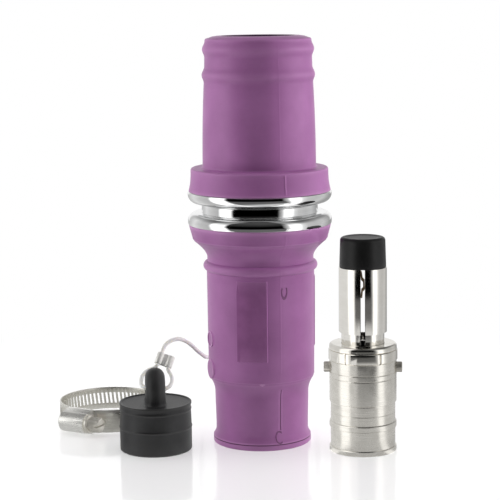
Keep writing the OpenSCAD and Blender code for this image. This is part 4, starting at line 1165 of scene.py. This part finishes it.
# bright boxes at the sides and a dark front
def makeSurround(setup):
    restart()
    radius = setup["surroundWide"]
    bpy.ops.mesh.primitive_uv_sphere_add(segments=96, ring_count=32, radius=radius)
    surround = bpy.context.object
    surround.name = "surround"
    bpy.ops.object.mode_set(mode="EDIT")
    deleteFaces(surround, lambda f: f.calc_center_median().z < 0)
    bpy.ops.object.mode_set(mode="OBJECT")

    def strength(tree):
        pattern, parts = addSurround(tree, objectPlace(tree), setup["surround"])

        def rise(axis, low, high, ends):
            return addRange(tree, parts.outputs[axis], low, high, *(e * radius for e in ends))

        boxes = combine(tree, "MULTIPLY", pattern,
            rise("Z", 1, setup["overhead"], setup["boxHigh"]))
        roof = rise("Z", 0, setup["roof"], setup["roofHigh"])
        # white behind, so that the floor stays white
        back = rise("Y", 0, 1, setup["backFrom"])
        return combine(tree, "MAXIMUM", back, combine(tree, "MAXIMUM", boxes, roof))

    glowInShine(surround, "surroundGlow", strength)


# a card that glows and is seen only in reflections: a painted pale reflection, with a brighter
# stripe, that keeps the cuff's colour out of the metal beside it
def makeCard(name, setup):
    restart()
    across, near, far, high = setup["place"]
    bpy.ops.mesh.primitive_plane_add(size=1, location=(across, (near + far) / 2, high / 2),
        rotation=(0, math.radians(90), 0))
    card = bpy.context.object
    card.name = name
    card.scale = (high, far - near, 1)
    settle()
    (start, end), (stripe, rest) = setup["stripe"], setup["light"]

    def strength(tree):
        parts = addNode(tree, "ShaderNodeSeparateXYZ", {"Vector": objectPlace(tree)})
        along = parts.outputs["Y"]
        return combine(tree, "MINIMUM", addRange(tree, along, rest, stripe, start - 0.004, start),
            addRange(tree, along, stripe, rest, end, end + 0.003))

    glowInShine(card, name + "Glow", strength)


def addLamp(name, place, turn, size, power):
    bpy.ops.object.light_add(type="AREA", location=place,
        rotation=[math.radians(angle) for angle in turn])
    lamp = bpy.context.object
    lamp.name = name
    lamp.data.shape = "RECTANGLE"
    lamp.data.size, lamp.data.size_y = size
    lamp.data.energy = power
    lamp.visible_glossy = False
    return lamp


def makeLights(setup):
    across, along, up = setup["sidePlace"]
    for name, side in (("leftSoft", -1), ("rightSoft", 1)):
        lamp = addLamp(name, (side * across, along, up), (setup["sideTilt"], 0, 90 * side),
            setup["sideSize"], setup[name])
        lamp.data.use_shadow = False
    addLamp("topSoft", setup["topPlace"], (0, 0, 0), setup["topSize"], setup["topSoft"])


def makeWorld(setup):
    world = bpy.context.scene.world or bpy.data.worlds.new("studioWorld")
    bpy.context.scene.world = world
    world.use_nodes = True
    tree = world.node_tree
    back = tree.nodes["Background"]
    back.inputs["Color"].default_value = (1, 1, 1, 1)
    path = tree.nodes.new("ShaderNodeLightPath").outputs
    seen = path["Is Camera Ray"]
    for kind in ("Is Glossy Ray", "Is Transmission Ray"):
        seen = combine(tree, "MAXIMUM", seen, path[kind])
    tree.links.new(addRange(tree, seen, setup["world"], 1, 0, 1), back.inputs["Strength"])


makeFloor(studio)
makeSurround(studio)
for name, card in cards.items():
    makeCard(name, card)
makeLights(studio)
makeWorld(studio)
bpy.context.scene.view_settings.view_transform = "Standard"
restart()
print("studio lit")
